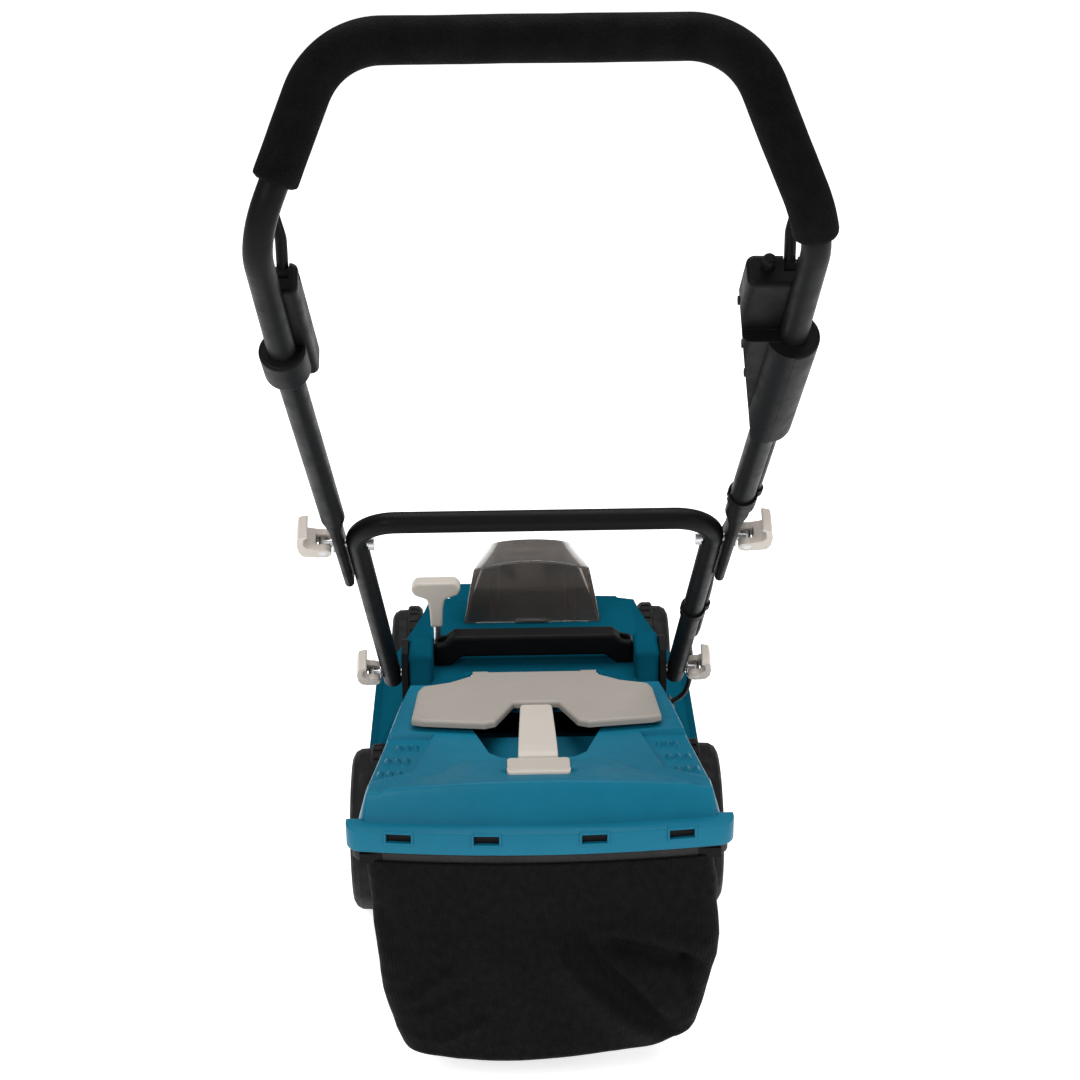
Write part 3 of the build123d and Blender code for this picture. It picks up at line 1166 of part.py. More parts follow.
with BuildPart() as bag_frame:
    with BuildSketch(Plane.XY.offset(238)):
        Polygon(*both([(124, 8), (144, -137), (160.9, -252), (163.8, -304)]), align=None)
        Polygon(*both([(119, 3), (139, -137), (155.8, -252), (158.6, -299)]), align=None, mode=Mode.SUBTRACT)
    extrude(amount=10)
    # mouth against the back of the deck
    with BuildSketch(Plane.XZ.offset(36)):
        Polygon((-118, 72), (118, 72), (128, 238), (-128, 238), align=None)
        Polygon((-100, 88), (100, 88), (100, 226), (-100, 226), align=None, mode=Mode.SUBTRACT)
    extrude(amount=5)
    with BuildSketch(Plane.XY.offset(236)):
        with Locations((0, -38.5)):
            Rectangle(256, 5)
    extrude(amount=12)
    # hooks behind the slots
    with BuildSketch(Plane.XZ.offset(300)):
        with Locations(*[(x, 255) for x in SLOTS_X]):
            Rectangle(20, 34)
    extrude(amount=4)
save(bag_frame, "bag_frame")

BAG_TOP = [(133, -41.5), (139.8, -60), (151.8, -150), (166, -240), (169.5, -304), (162, -316)]
BAG_LOW = [(112, -64), (128, -84), (134, -150), (138, -240), (138, -312), (112, -338)]


def inset(pts, d):
    ys = [y for _, y in pts]
    mid = (max(ys) + min(ys)) / 2
    return [(x - d, y - d if y > mid else y + d) for x, y in pts]


with BuildPart() as grass_bag:
    with BuildSketch(Plane.XY.offset(46)):
        Polygon(*both(BAG_LOW), align=None)
    with BuildSketch(Plane.XY.offset(237.8)):
        Polygon(*both(BAG_TOP), align=None)
    loft(ruled=True)
    with BuildSketch(Plane.XY.offset(48.5)):
        Polygon(*both(inset(BAG_LOW, 2.5)), align=None)
    with BuildSketch(Plane.XY.offset(237.8)):
        Polygon(*both(inset(BAG_TOP, 2.5)), align=None)
    loft(ruled=True, mode=Mode.SUBTRACT)
    with BuildSketch(Plane.XZ.offset(30)):
        Polygon((-100, 88), (100, 88), (100, 226), (-100, 226), align=None)
    extrude(amount=60, mode=Mode.SUBTRACT)
    # hem that wraps the skirt of the lid behind and beside it
    with BuildSketch(Plane.XY.offset(237.8)):
        Polygon(*both([(139.8, -60), (151.8, -150), (166, -240), (169.5, -304), (162, -316)]), align=None)
        Polygon(*both([(138.2, -59), (148.4, -137), (165.3, -252), (168.3, -308.3)]), align=None, mode=Mode.SUBTRACT)
    extrude(amount=13.7)
save(grass_bag, "grass_bag")
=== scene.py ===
import math

import bmesh
import bpy
import numpy as np
from mathutils import Matrix, Vector, noise


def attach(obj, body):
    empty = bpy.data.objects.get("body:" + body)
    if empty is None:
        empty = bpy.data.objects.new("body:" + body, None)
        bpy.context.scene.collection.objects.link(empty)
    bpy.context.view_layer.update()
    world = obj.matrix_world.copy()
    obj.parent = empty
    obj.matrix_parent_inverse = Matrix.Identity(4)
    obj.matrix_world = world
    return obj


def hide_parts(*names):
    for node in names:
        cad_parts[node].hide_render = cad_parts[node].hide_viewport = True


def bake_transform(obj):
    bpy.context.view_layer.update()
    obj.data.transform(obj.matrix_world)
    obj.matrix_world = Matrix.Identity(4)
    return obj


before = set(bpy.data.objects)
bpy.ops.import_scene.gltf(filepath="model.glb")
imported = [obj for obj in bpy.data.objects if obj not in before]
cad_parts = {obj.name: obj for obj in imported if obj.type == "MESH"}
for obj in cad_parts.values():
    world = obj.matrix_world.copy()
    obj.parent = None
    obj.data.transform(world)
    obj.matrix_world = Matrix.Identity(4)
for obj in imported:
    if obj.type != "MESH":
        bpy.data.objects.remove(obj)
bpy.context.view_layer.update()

scene = bpy.context.scene
MM = 0.001
X_AXIS = Vector((1, 0, 0))


# ------------------------------------------------------------------ materials
def lin(r, g, b):
    def one(c):
        c /= 255.0
        return c / 12.92 if c <= 0.04045 else ((c + 0.055) / 1.055) ** 2.4
    return (one(r), one(g), one(b))


class Shader:
    """A principled material and short calls for the nodes that feed it."""

    def __init__(self, name):
        self.mat = bpy.data.materials.new(name)
        self.mat.use_nodes = True
        self.nt = self.mat.node_tree
        self.out = self.nt.nodes["Principled BSDF"]

    def new(self, kind, **sets):
        n = self.nt.nodes.new(kind)
        for k, v in sets.items():
            setattr(n, k, v)
        return n

    def link(self, a, b):
        self.nt.links.new(a, b)

    def set(self, **values):
        for k, v in values.items():
            self.out.inputs[k.replace("_", " ")].default_value = v

    def coords(self, scale=(1, 1, 1), kind="Object"):
        tc = self.new("ShaderNodeTexCoord")
        mp = self.new("ShaderNodeMapping")
        mp.inputs["Scale"].default_value = scale
        self.link(tc.outputs[kind], mp.inputs["Vector"])
        return mp.outputs["Vector"]

    def noise(self, vec, scale, detail=3.0, rough=0.55, distortion=0.0):
        n = self.new("ShaderNodeTexNoise")
        n.inputs["Scale"].default_value = scale
        n.inputs["Detail"].default_value = detail
        n.inputs["Roughness"].default_value = rough
        n.inputs["Distortion"].default_value = distortion
        self.link(vec, n.inputs["Vector"])
        return n.outputs["Fac"]

    def wave(self, vec, scale, direction, distortion=0.0, detail=0.0, detail_scale=1.0):
        n = self.new("ShaderNodeTexWave", wave_type="BANDS", bands_direction=direction)
        n.inputs["Scale"].default_value = scale
        n.inputs["Distortion"].default_value = distortion
        n.inputs["Detail"].default_value = detail
        n.inputs["Detail Scale"].default_value = detail_scale
        self.link(vec, n.inputs["Vector"])
        return n.outputs["Fac"]

    def voronoi(self, vec, scale):
        n = self.new("ShaderNodeTexVoronoi")
        n.inputs["Scale"].default_value = scale
        self.link(vec, n.inputs["Vector"])
        return n.outputs["Distance"]

    def span(self, fac, lo, hi, a, b):
        n = self.new("ShaderNodeMapRange")
        n.inputs["From Min"].default_value = lo
        n.inputs["From Max"].default_value = hi
        n.inputs["To Min"].default_value = a
        n.inputs["To Max"].default_value = b
        self.link(fac, n.inputs["Value"])
        return n.outputs["Result"]

    def math(self, op, a, b):
        n = self.new("ShaderNodeMath", operation=op)
        for i, v in enumerate((a, b)):
            if isinstance(v, (int, float)):
                n.inputs[i].default_value = v
            else:
                self.link(v, n.inputs[i])
        return n.outputs["Value"]

    def mix(self, fac, a, b):
        n = self.new("ShaderNodeMix", data_type="RGBA")
        self.link(fac, n.inputs["Factor"])
        for key, v in ((6, a), (7, b)):
            if isinstance(v, tuple):
                n.inputs[key].default_value = (*v, 1.0)
            else:
                self.link(v, n.inputs[key])
        return n.outputs[2]

    def bevel(self, radius):
        n = self.new("ShaderNodeBevel", samples=4)
        n.inputs["Radius"].default_value = radius
        return n.outputs["Normal"]

    def edge(self, bevel_normal):
        g = self.new("ShaderNodeNewGeometry")
        d = self.new("ShaderNodeVectorMath", operation="DOT_PRODUCT")
        self.link(bevel_normal, d.inputs[0])
        self.link(g.outputs["Normal"], d.inputs[1])
        return self.span(d.outputs["Value"], 0.995, 0.86, 0.0, 1.0)

    def bump(self, height, strength, distance, normal=None):
        n = self.new("ShaderNodeBump")
        n.inputs["Strength"].default_value = strength
        n.inputs["Distance"].default_value = distance
        self.link(height, n.inputs["Height"])
        if normal is not None:
            self.link(normal, n.inputs["Normal"])
        return n.outputs["Normal"]

    def finish(self, color=None, rough=None, normal=None):
        for key, v in (("Base Color", color), ("Roughness", rough), ("Normal", normal)):
            if v is not None:
                self.link(v, self.out.inputs[key])
        return self.mat


def shade(rgb, k):
    return tuple(min(1.0, c * k) for c in rgb)


def moulded(name, rgb, rough, var=0.10, grain=1500, grain_depth=0.00006, edge_k=1.35, edge_r=0.0009, cloud=7, spec=0.5, scuff=0.12):
    """Injection-moulded plastic: fine spark-eroded grain, faint flow clouds, rubbed edges, light handling marks."""
    s = Shader(name)
    vec = s.coords()
    clouds = s.noise(vec, cloud, 3)
    mottling = s.noise(vec, cloud * 9, 4)
    tone = s.math("ADD", s.math("MULTIPLY", clouds, 0.7), s.math("MULTIPLY", mottling, 0.3))
    body = s.mix(s.span(tone, 0.35, 0.65, 0, 1), shade(rgb, 1 - var), shade(rgb, 1 + var))
    round_normal = s.bevel(edge_r)
    rubbed = s.math("MULTIPLY", s.edge(round_normal), s.span(s.noise(vec, 130, 3), 0.35, 0.65, 0.25, 0.9))
    color = s.mix(rubbed, body, tuple(min(1.0, c * edge_k + 0.006) for c in rgb))
    marks = s.span(s.noise(vec, 45, 5, 0.65), 0.45, 0.75, rough - scuff * 0.4, rough + scuff)
    g1 = s.noise(vec, grain, 2)
    g2 = s.noise(vec, 22, 2)
    height = s.math("ADD", g1, s.math("MULTIPLY", g2, 1.6))
    s.set(Specular_IOR_Level=spec)
    return s.finish(color, marks, s.bump(height, 0.55, grain_depth, round_normal))


def painted(name, rgb, rough, var=0.08):
    """Satin powder coat on tube: orange peel and worn edges."""
    s = Shader(name)
    vec = s.coords()
    body = s.mix(s.span(s.noise(vec, 14, 4), 0.35, 0.65, 0, 1), shade(rgb, 1 - var), shade(rgb, 1 + var))
    round_normal = s.bevel(0.0007)
    rubbed = s.math("MULTIPLY", s.edge(round_normal), s.span(s.noise(vec, 160, 3), 0.4, 0.65, 0.1, 0.8))
    color = s.mix(rubbed, body, shade(rgb, 2.6))
    marks = s.span(s.noise(vec, 60, 5, 0.6), 0.4, 0.75, rough - 0.05, rough + 0.12)
    peel = s.math("ADD", s.noise(vec, 900, 2), s.noise(vec, 260, 2))
    s.set(Specular_IOR_Level=0.06)
    return s.finish(color, marks, s.bump(peel, 0.35, 0.00008, round_normal))


def metal(name, rgb, rough, stretch=(40, 900, 900), spots=0.0):
    """Plated or machined metal with fine drawn lines and smudges."""
    s = Shader(name)
    vec = s.coords()
    lines = s.noise(s.coords(stretch), 1.0, 3)
    smudge = s.noise(vec, 38, 4)
    color = s.mix(s.span(smudge, 0.35, 0.7, 0, 1), shade(rgb, 0.82 - spots), rgb)
    marks = s.span(s.math("ADD", s.math("MULTIPLY", lines, 0.6), s.math("MULTIPLY", smudge, 0.4)), 0.3, 0.7, rough - 0.07, rough + 0.13)
    s.set(Metallic=1.0)
    return s.finish(color, marks, s.bump(lines, 0.25, 0.00004, s.bevel(0.0005)))


def rubber(name, rgb, rough=0.72, grain=700):
    s = Shader(name)
    vec = s.coords()
    dusty = s.span(s.noise(vec, 26, 5, 0.65), 0.42, 0.75, 0, 1)
    color = s.mix(dusty, rgb, tuple(c * 1.5 + 0.004 for c in rgb))
    marks = s.span(s.noise(vec, 80, 4), 0.35, 0.7, rough - 0.10, rough + 0.10)
    s.set(Specular_IOR_Level=0.2)
    return s.finish(color, marks, s.bump(s.noise(vec, grain, 3), 0.5, 0.00015, s.bevel(0.0008)))


def foam_material():
    s = Shader("foam_sleeve")
    vec = s.coords()
    cells = s.voronoi(vec, 520)
    fine = s.noise(vec, 1500, 3)
    worn = s.span(s.noise(vec, 18, 4), 0.4, 0.7, 0, 1)
    color = s.mix(s.span(cells, 0.15, 0.6, 0, 1), s.mix(worn, lin(7, 7, 7), lin(11, 11, 11)), lin(4, 4, 4))
    marks = s.span(s.noise(vec, 50, 3), 0.35, 0.7, 0.82, 0.97)
    height = s.math("SUBTRACT", s.math("MULTIPLY", fine, 0.6), cells)
    s.set(Specular_IOR_Level=0.10)
    return s.finish(color, marks, s.bump(height, 0.7, 0.0005))


def bag_material():
    """Coarse woven mesh: strong upright ribs crossed by finer threads. UV is in metres of cloth."""
    s = Shader("bag_weave")
    vec = s.coords(kind="UV")
    rib = s.wave(vec, 2 * math.pi / (20 * 0.0024), "X", 0.7, 1.0, 40.0)
    weft = s.wave(vec, 2 * math.pi / (20 * 0.0013), "Y", 0.5, 1.0, 40.0)
    fuzz = s.noise(vec, 900, 3)
    patch = s.noise(vec, 16, 4)
    thread = s.math("ADD", s.math("MULTIPLY", rib, 0.72), s.math("MULTIPLY", weft, 0.28))
    dark = s.mix(s.span(patch, 0.35, 0.68, 0, 1), lin(3, 3, 3), lin(5, 5, 5))
    light = s.mix(s.span(patch, 0.35, 0.68, 0, 1), lin(9, 9, 9), lin(12, 12, 12))
    color = s.mix(s.span(thread, 0.25, 0.9, 0, 1), dark, light)
    marks = s.span(s.noise(vec, 120, 3), 0.35, 0.7, 0.66, 0.86)
    height = s.math("ADD", thread, s.math("MULTIPLY", fuzz, 0.25))
    s.set(Specular_IOR_Level=0.10)
    return s.finish(color, marks, s.bump(height, 0.8, 0.0006))


def tape_material():
    """Woven binding tape along the top of the bag."""
    s = Shader("bag_tape")
    vec = s.coords(kind="UV")
    rib = s.wave(vec, 2 * math.pi / (20 * 0.0016), "X", 0.3)
    ridge = s.wave(vec, 2 * math.pi / (20 * 0.0028), "Y", 0.4)
    patch = s.noise(vec, 25, 4)
    color = s.mix(s.math("MULTIPLY", rib, s.span(patch, 0.3, 0.7, 0.4, 1.0)), lin(8, 8, 8), lin(18, 17, 17))
    marks = s.span(patch, 0.3, 0.7, 0.55, 0.78)
    s.set(Specular_IOR_Level=0.4)
    return s.finish(color, marks, s.bump(s.math("ADD", rib, ridge), 0.5, 0.0003))


def smoked_material():
    s = Shader("smoked_clear")
    vec = s.coords()
    haze = s.noise(vec, 24, 5, 0.65)
    swirl = s.noise(vec, 5, 2)
    color = s.mix(s.span(swirl, 0.35, 0.65, 0, 1), (0.30, 0.265, 0.24), (0.36, 0.32, 0.29))
    marks = s.span(haze, 0.4, 0.75, 0.05, 0.16)
    s.set(Transmission_Weight=0.86, IOR=1.50, Specular_IOR_Level=0.6)
    return s.finish(color, marks, s.bump(s.noise(vec, 12, 2), 0.12, 0.0004, s.bevel(0.0012)))


TEAL = lin(15, 101, 126)
BEIGE = lin(186, 178, 169)
BLACK = lin(14, 14, 15)
teal = moulded("teal_plastic", TEAL, 0.42, var=0.06, grain=1700, edge_k=1.20, spec=0.11)
# painted shade: the upper housing is the lid teal darkened to about half, standing for the shade it lies in
housing_teal_painted_shade = moulded("housing_teal_painted_shade_plastic", shade(TEAL, 0.52), 0.50, var=0.06, grain=1700, edge_k=1.5, spec=0.0)
# painted shade: the deck shell is the lid teal darkened further, standing for the shadow over the deck sides
deck_teal_painted_shade = moulded("deck_teal_painted_shade_plastic", shade(TEAL, 0.42), 0.60, var=0.07, grain=1700, edge_k=1.5, spec=0.0)
beige = moulded("beige_plastic", BEIGE, 0.44, var=0.035, grain=1700, edge_k=1.08, scuff=0.10, spec=0.3)
# painted shade: the rear flap is the same beige darkened, to take down the light it catches
flap_beige_painted_shade = moulded("flap_beige_painted_shade_plastic", shade(BEIGE, 0.64), 0.46, var=0.035, grain=1700, edge_k=1.12, scuff=0.10, spec=0.18)
black = moulded("black_plastic", BLACK, 0.50, var=0.12, grain=1100, grain_depth=0.00010, edge_k=2.0, spec=0.08)
black_inner = moulded("black_inner_plastic", lin(24, 24, 25), 0.42, var=0.10, grain=1300, edge_k=1.7)
tube = painted("tube_powder_coat", lin(19, 19, 20), 0.42)
bail_paint = painted("bail_powder_coat", lin(22, 22, 24), 0.36)
steel = metal("zinc_plate", (0.60, 0.60, 0.61), 0.30)
dark_steel = metal("blade_coat", (0.06, 0.06, 0.062), 0.42, spots=0.1)
alloy = metal("cast_alloy", (0.52, 0.52, 0.54), 0.45, stretch=(260, 260, 260))
tyre = rubber("tyre_rubber", lin(12, 12, 12), 0.70)
cable_rubber = rubber("cable_rubber", lin(24, 24, 25), 0.48, grain=1600)
foam = foam_material()
bag_cloth = bag_material()
tape = tape_material()
smoked = smoked_material()
red = moulded("red_plastic", lin(150, 28, 22), 0.42, var=0.06)

LOOKS = {
    teal: "grass_box_lid",
    housing_teal_painted_shade: "upper_housing",
    deck_teal_painted_shade: "deck_shell",
    flap_beige_painted_shade: "rear_flap",
    beige: "box_handle fill_indicator height_lever_knob upper_right_cam_lever upper_left_cam_lever lower_right_cam_lever lower_left_cam_lever",
    black: "carry_handle left_pivot_bracket right_pivot_bracket left_lever_housing switch_box_inner switch_box_outer lock_off_button switch_box_screws cable_grommet "
           "upper_cable_clip lower_cable_clip rear_right_hub rear_left_hub front_right_hub front_left_hub bag_frame",
    black_inner: "battery_tray terminal_block battery_pack controller_box",
    tube: "lower_handle_tube upper_handle_tube",
    bail_paint: "switch_bail",
    steel: "housing_screws lower_pivot_bolts joint_bolts flap_rod flap_springs height_lever_rod height_link_rod height_quadrant "
           "rear_axle_crank front_axle_crank blade_bolt",
    dark_steel: "blade",
    alloy: "motor_body blade_spindle",
    tyre: "rear_right_tyre rear_left_tyre front_right_tyre front_left_tyre",
    foam: "foam_grip",
    cable_rubber: "upper_cable lower_cable cable_joint_loop cable_pivot_loop",
    bag_cloth: "grass_bag",
    smoked: "battery_cover",
    red: "isolation_key",
}
for look, names in LOOKS.items():
    for n in names.split():
        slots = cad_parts[n].material_slots
        for i in range(len(slots)):
            slots[i].material = look
        if not slots:
            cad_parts[n].data.materials.append(look)


# --------------------------------------------------------------------- meshes
def piece(name, verts, faces, mat, sharp=38, uvs=None):
    me = bpy.data.meshes.new(name)
    me.from_pydata([tuple(v) for v in verts], [], faces)
    me.validate()
    me.update()
    ob = bpy.data.objects.new(name, me)
    scene.collection.objects.link(ob)
    me.materials.append(mat)
    smooth(me, sharp)
    if uvs is not None:
        layer = me.uv_layers.new(name="UVMap")
        for loop in me.loops:
            layer.data[loop.index].uv = uvs[loop.vertex_index]
    return ob


def smooth(me, sharp=38):
    me.polygons.foreach_set("use_smooth", [True] * len(me.polygons))
    me.set_sharp_from_angle(angle=math.radians(sharp))


def applied(ob, sharp=38):
    dg = bpy.context.evaluated_depsgraph_get()
    me = bpy.data.meshes.new_from_object(ob.evaluated_get(dg))
    old = ob.data
    ob.modifiers.clear()
    ob.data = me
    bpy.data.meshes.remove(old)
    smooth(me, sharp)
    return ob


def cut(ob, tool, keep_tool=False):
    m = ob.modifiers.new("cut", "BOOLEAN")
    m.operation = "DIFFERENCE"
    m.solver = "EXACT"
    m.object = tool
    bpy.context.view_layer.update()
    applied(ob)
    if not keep_tool:
        me = tool.data
        bpy.data.objects.remove(tool)
        bpy.data.meshes.remove(me)
    return ob


def prism(name, outline, z0, z1, mat):
    """A closed upright prism over an outline in millimetres."""
    n = len(outline)
    area = sum(outline[i][0] * outline[(i + 1) % n][1] - outline[(i + 1) % n][0] * outline[i][1] for i in range(n))
    if area < 0:
        outline = outline[::-1]
    verts = [(x * MM, y * MM, z0 * MM) for x, y in outline] + [(x * MM, y * MM, z1 * MM) for x, y in outline]
    faces = [tuple(range(n - 1, -1, -1)), tuple(range(n, 2 * n))]
    faces += [(i, (i + 1) % n, n + (i + 1) % n, n + i) for i in range(n)]
    return piece(name, verts, faces, mat)


def rounded(points, radii, steps=8):
    """Corner-rounded closed outline."""
    out = []
    n = len(points)
    for i in range(n):
        p = Vector(points[i])
        a = Vector(points[i - 1])
        b = Vector(points[(i + 1) % n])
        r = radii[i] if isinstance(radii, (list, tuple)) else radii
        d1 = (a - p).normalized()
        d2 = (b - p).normalized()
        ang = d1.angle(d2)
        if r <= 0 or ang > math.pi - 0.02:
            out.append((p.x, p.y))
            continue
        t = r / math.tan(ang / 2)
        t = min(t, (a - p).length * 0.49, (b - p).length * 0.49)
        s, e = p + d1 * t, p + d2 * t
        for k in range(steps + 1):
            u = k / steps
            q = (1 - u) ** 2 * s + 2 * u * (1 - u) * p + u * u * e
            out.append((q.x, q.y))
    return out


def tube_mesh(points, radii, sides, closed_ends=True):
    """Rings along a line of points, with no twist."""
    pts = [Vector(p) for p in points]
    tang = []
    for i in range(len(pts)):
        a = pts[max(0, i - 1)]
        b = pts[min(len(pts) - 1, i + 1)]
        tang.append((b - a).normalized())
    up = tang[0].orthogonal().normalized()
    verts, faces, uvs = [], [], []
    run = 0.0
    for i, p in enumerate(pts):
        if i:
            run += (p - pts[i - 1]).length
            up = (up - tang[i] * up.dot(tang[i])).normalized()
        side = tang[i].cross(up)
        for k in range(sides):
            a = 2 * math.pi * k / sides
            r = radii[i](a) if callable(radii[i]) else radii[i]
            verts.append(p + (up * math.cos(a) + side * math.sin(a)) * r)
            uvs.append((a / (2 * math.pi), run))
    for i in range(len(pts) - 1):
        for k in range(sides):
            j = (k + 1) % sides
            faces.append((i * sides + k, i * sides + j, (i + 1) * sides + j, (i + 1) * sides + k))
    if closed_ends:
        faces.append(tuple(range(sides - 1, -1, -1)))
        faces.append(tuple((len(pts) - 1) * sides + k for k in range(sides)))
    return verts, faces, uvs


# ------------------------------------------------------------------ the camera
CAM = Vector((-0.0228, -2.042, 1.340))
TURN = Matrix.Rotation(math.radians(-0.83), 4, "Z") @ Matrix.Rotation(math.radians(90 - 24.26), 4, "X") @ Matrix.Rotation(math.radians(-0.58), 4, "Z")
FOCAL = 2248.0
INTO = TURN.to_3x3().inverted()


def seen_at(p):
    """Where a point falls in the 1080 by 1080 picture."""
    q = INTO @ (Vector(p) - CAM)
    return 540 + FOCAL * q.x / -q.z, 540 - FOCAL * q.y / -q.z


# ------------------------------------------------------------------- foam grip
def unit(v):
    return v.normalized()


J = Vector((180.2, -140, 483))
U2, U3, U4 = Vector((197, -410, 775)), Vector((202, -498, 880)), Vector((146, -470, 1015))
TU = unit(U2 - J)


def mirror(v):
    return Vector((-v.x, v.y, v.z))


def bent(points, radii, step):
    """Points along straight tubes with bends of the given radii."""
    out = [points[0]]
    for i in range(1, len(points) - 1):
        p = points[i]
        d1 = unit(p - points[i - 1])
        d2 = unit(points[i + 1] - p)
        ang = d1.angle(d2)
        r = radii[i - 1]
        t = r * math.tan(ang / 2)
        start = p - d1 * t
        axis = d1.cross(d2).normalized()
        centre = start + axis.cross(d1) * r
        n = max(6, int(r * ang / step))
        for k in range(n + 1):
            out.append(centre + Matrix.Rotation(ang * k / n, 3, axis) @ (start - centre))
    out.append(points[-1])
    fine = [out[0]]
    for a, b in zip(out, out[1:]):
        n = max(1, int((b - a).length / step + 0.5))
        for k in range(1, n + 1):
            fine.append(a + (b - a) * (k / n))
    return fine


handle_line = bent([J + TU * 60, U2, U3, U4, mirror(U4), mirror(U3), mirror(U2), mirror(J + TU * 60)], [150, 60, 58, 58, 60, 150], 2.0)
first = next(i for i, p in enumerate(handle_line) if p.z > 876)
last = max(i for i, p in enumerate(handle_line) if p.z > 919)
grip_line = handle_line[first:last + 1]
steps = [0.0]
for a, b in zip(grip_line, grip_line[1:]):
    steps.append(steps[-1] + (b - a).length)


def grip_radius(s, total):
    e = min(s, total - s)
    r = 17.0
    if e < 4.0:
        r = 13.4 + 3.6 * math.sqrt(max(0.0, 1 - (1 - e / 4.0) ** 2))
    return r


def soft_ring(base, s):
    def at(a):
        wob = noise.noise(Vector((math.cos(a) * 1.3, math.sin(a) * 1.3, s * 0.018))) * 0.35
        wob += noise.noise(Vector((math.cos(a) * 3.1, math.sin(a) * 3.1, s * 0.06 + 9))) * 0.12
        return (base + wob) * MM
    return at


line = [grip_line[0] + (grip_line[1] - grip_line[0]) * 0.6] + grip_line + [grip_line[-1] + (grip_line[-2] - grip_line[-1]) * 0.6]
total = steps[-1]
rings = [11.25 * MM] + [soft_ring(grip_radius(s, total), s) for s in steps] + [11.25 * MM]
v, f, uv = tube_mesh([p * MM for p in line], rings, 40)
grip = piece("grip_foam", v, f, foam, 60, uv)
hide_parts("foam_grip")
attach(grip, "upper_handle")


# ---------------------------------------------------------------- cable loops
P0 = Vector((150, 65, 240))
D1 = unit(Vector((165, -140, 483)) - P0)
N1 = unit(Vector((0, D1.z, -D1.y)))
NU = unit(Vector((0, TU.z, -TU.y)))
GROMMET = Vector((140, 118, 166))
GROMMET_D = unit(Vector((0.92, 0, 0.39)))


def on_upper(s, x, y):
    return J + TU * s + X_AXIS * x + NU * y


def on_lower(s, x, y):
    return P0 + D1 * s + X_AXIS * x + N1 * y


def cable(name, route):
    cu = bpy.data.curves.new(name, "CURVE")
    cu.dimensions = "3D"
    sp = cu.splines.new("NURBS")
    sp.points.add(len(route) - 1)
    for pt, p in zip(sp.points, route):
        pt.co = (*(p * MM), 1.0)
    sp.order_u = 3
    sp.use_endpoint_u = True
    sp.resolution_u = 14
    ob = bpy.data.objects.new(name, cu)
    scene.collection.objects.link(ob)
    bpy.context.view_layer.update()
    me = bpy.data.meshes.new_from_object(ob.evaluated_get(bpy.context.evaluated_depsgraph_get()))
    pts = [vv.co.copy() for vv in me.vertices]
    bpy.data.objects.remove(ob)
    bpy.data.meshes.remove(me)
    clean = [pts[0]]
    for p in pts[1:]:
        if (p - clean[-1]).length > 0.0004:
            clean.append(p)
    vs, fs, us = tube_mesh(clean, [0.00275] * len(clean), 20)
    return piece(name, vs, fs, cable_rubber, 60, us)


joint_loop = cable("cable_at_joint", [
    on_upper(65.9, 13.8, 5.5), on_upper(42, 13.8, 5.5), on_upper(8, 10, 27), on_upper(-38, 4, 30), on_upper(-80, -2, 23),
    on_lower(204, 12.9, 5.4), on_lower(178, 12.9, 5.4)])
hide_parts("cable_joint_loop")
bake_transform(joint_loop)

pivot_loop = cable("cable_at_pivot", [
    on_lower(99.9, 12.9, 5.4), on_lower(72, 12.9, 5.4), on_lower(36, 11.5, 24), on_lower(4, 14, 33),
    Vector((169.5, 106, 231)), Vector((170, 117, 199)), GROMMET + GROMMET_D * 25, GROMMET + GROMMET_D * 3])
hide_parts("cable_pivot_loop")
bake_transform(pivot_loop)


# ------------------------------------------------------------------ grass box
def smoothstep(t):
    t = np.clip(t, 0.0, 1.0)
    return t * t * (3 - 2 * t)


def smin(a, b, k):
    h = np.clip(0.5 + 0.5 * (b - a) / k, 0, 1)
    return b * (1 - h) + a * h - k * h * (1 - h)


def half_width(y):
    return np.interp(-y, [-12, 137, 252, 308], [128, 148, 165, 168])


def lid_rear(x):
    return -308 + 10 * (x / 160) ** 2


PANEL = [(99, -129), (190, -125), (190, -282), (115.5, -228)]


def panel_depth(x, y):
    inside = np.full_like(x, 1e3)
    ax = np.abs(x)
    n = len(PANEL)
    for i in range(n):
        (x0, y0), (x1, y1) = PANEL[i], PANEL[(i + 1) % n]
        l = math.hypot(x1 - x0, y1 - y0)
        inside = np.minimum(inside, ((y1 - y0) * (ax - x0) - (x1 - x0) * (y - y0)) / l)
    return inside


def lid_top(x, y):
    plane = 252 + 0.158 * (12 - y)
    rise = np.clip(-210 - y, 0, 73.4)
    edge = np.where(y > -248, 73 + 0.6176 * (-214 - y), 94 + 1.6 * (-248 - y))
    crest = 0.116 * rise * np.clip(1 - (x / 154) ** 2, 0, 1) * smoothstep((edge + 2 - np.abs(x)) / 4)
    crest = crest + 1.5 * smoothstep((edge + 2 - np.abs(x)) / 4) * smoothstep((-205 - y) / 5)
    return plane + crest - 6.4 * smoothstep(panel_depth(x, y) / 3.2)


def lid_height(x, y):
    dx = (half_width(y) - np.abs(x)) * 2.02
    dy = y - lid_rear(x)
    r = 20.0
    near = (dx < r) & (dy < r)
    d = np.where(near, r - np.hypot(np.maximum(r - dx, 0), np.maximum(r - dy, 0)), np.minimum(dx, dy))
    return smin(lid_top(x, y), 262 + 1.83 * d, 6.0)


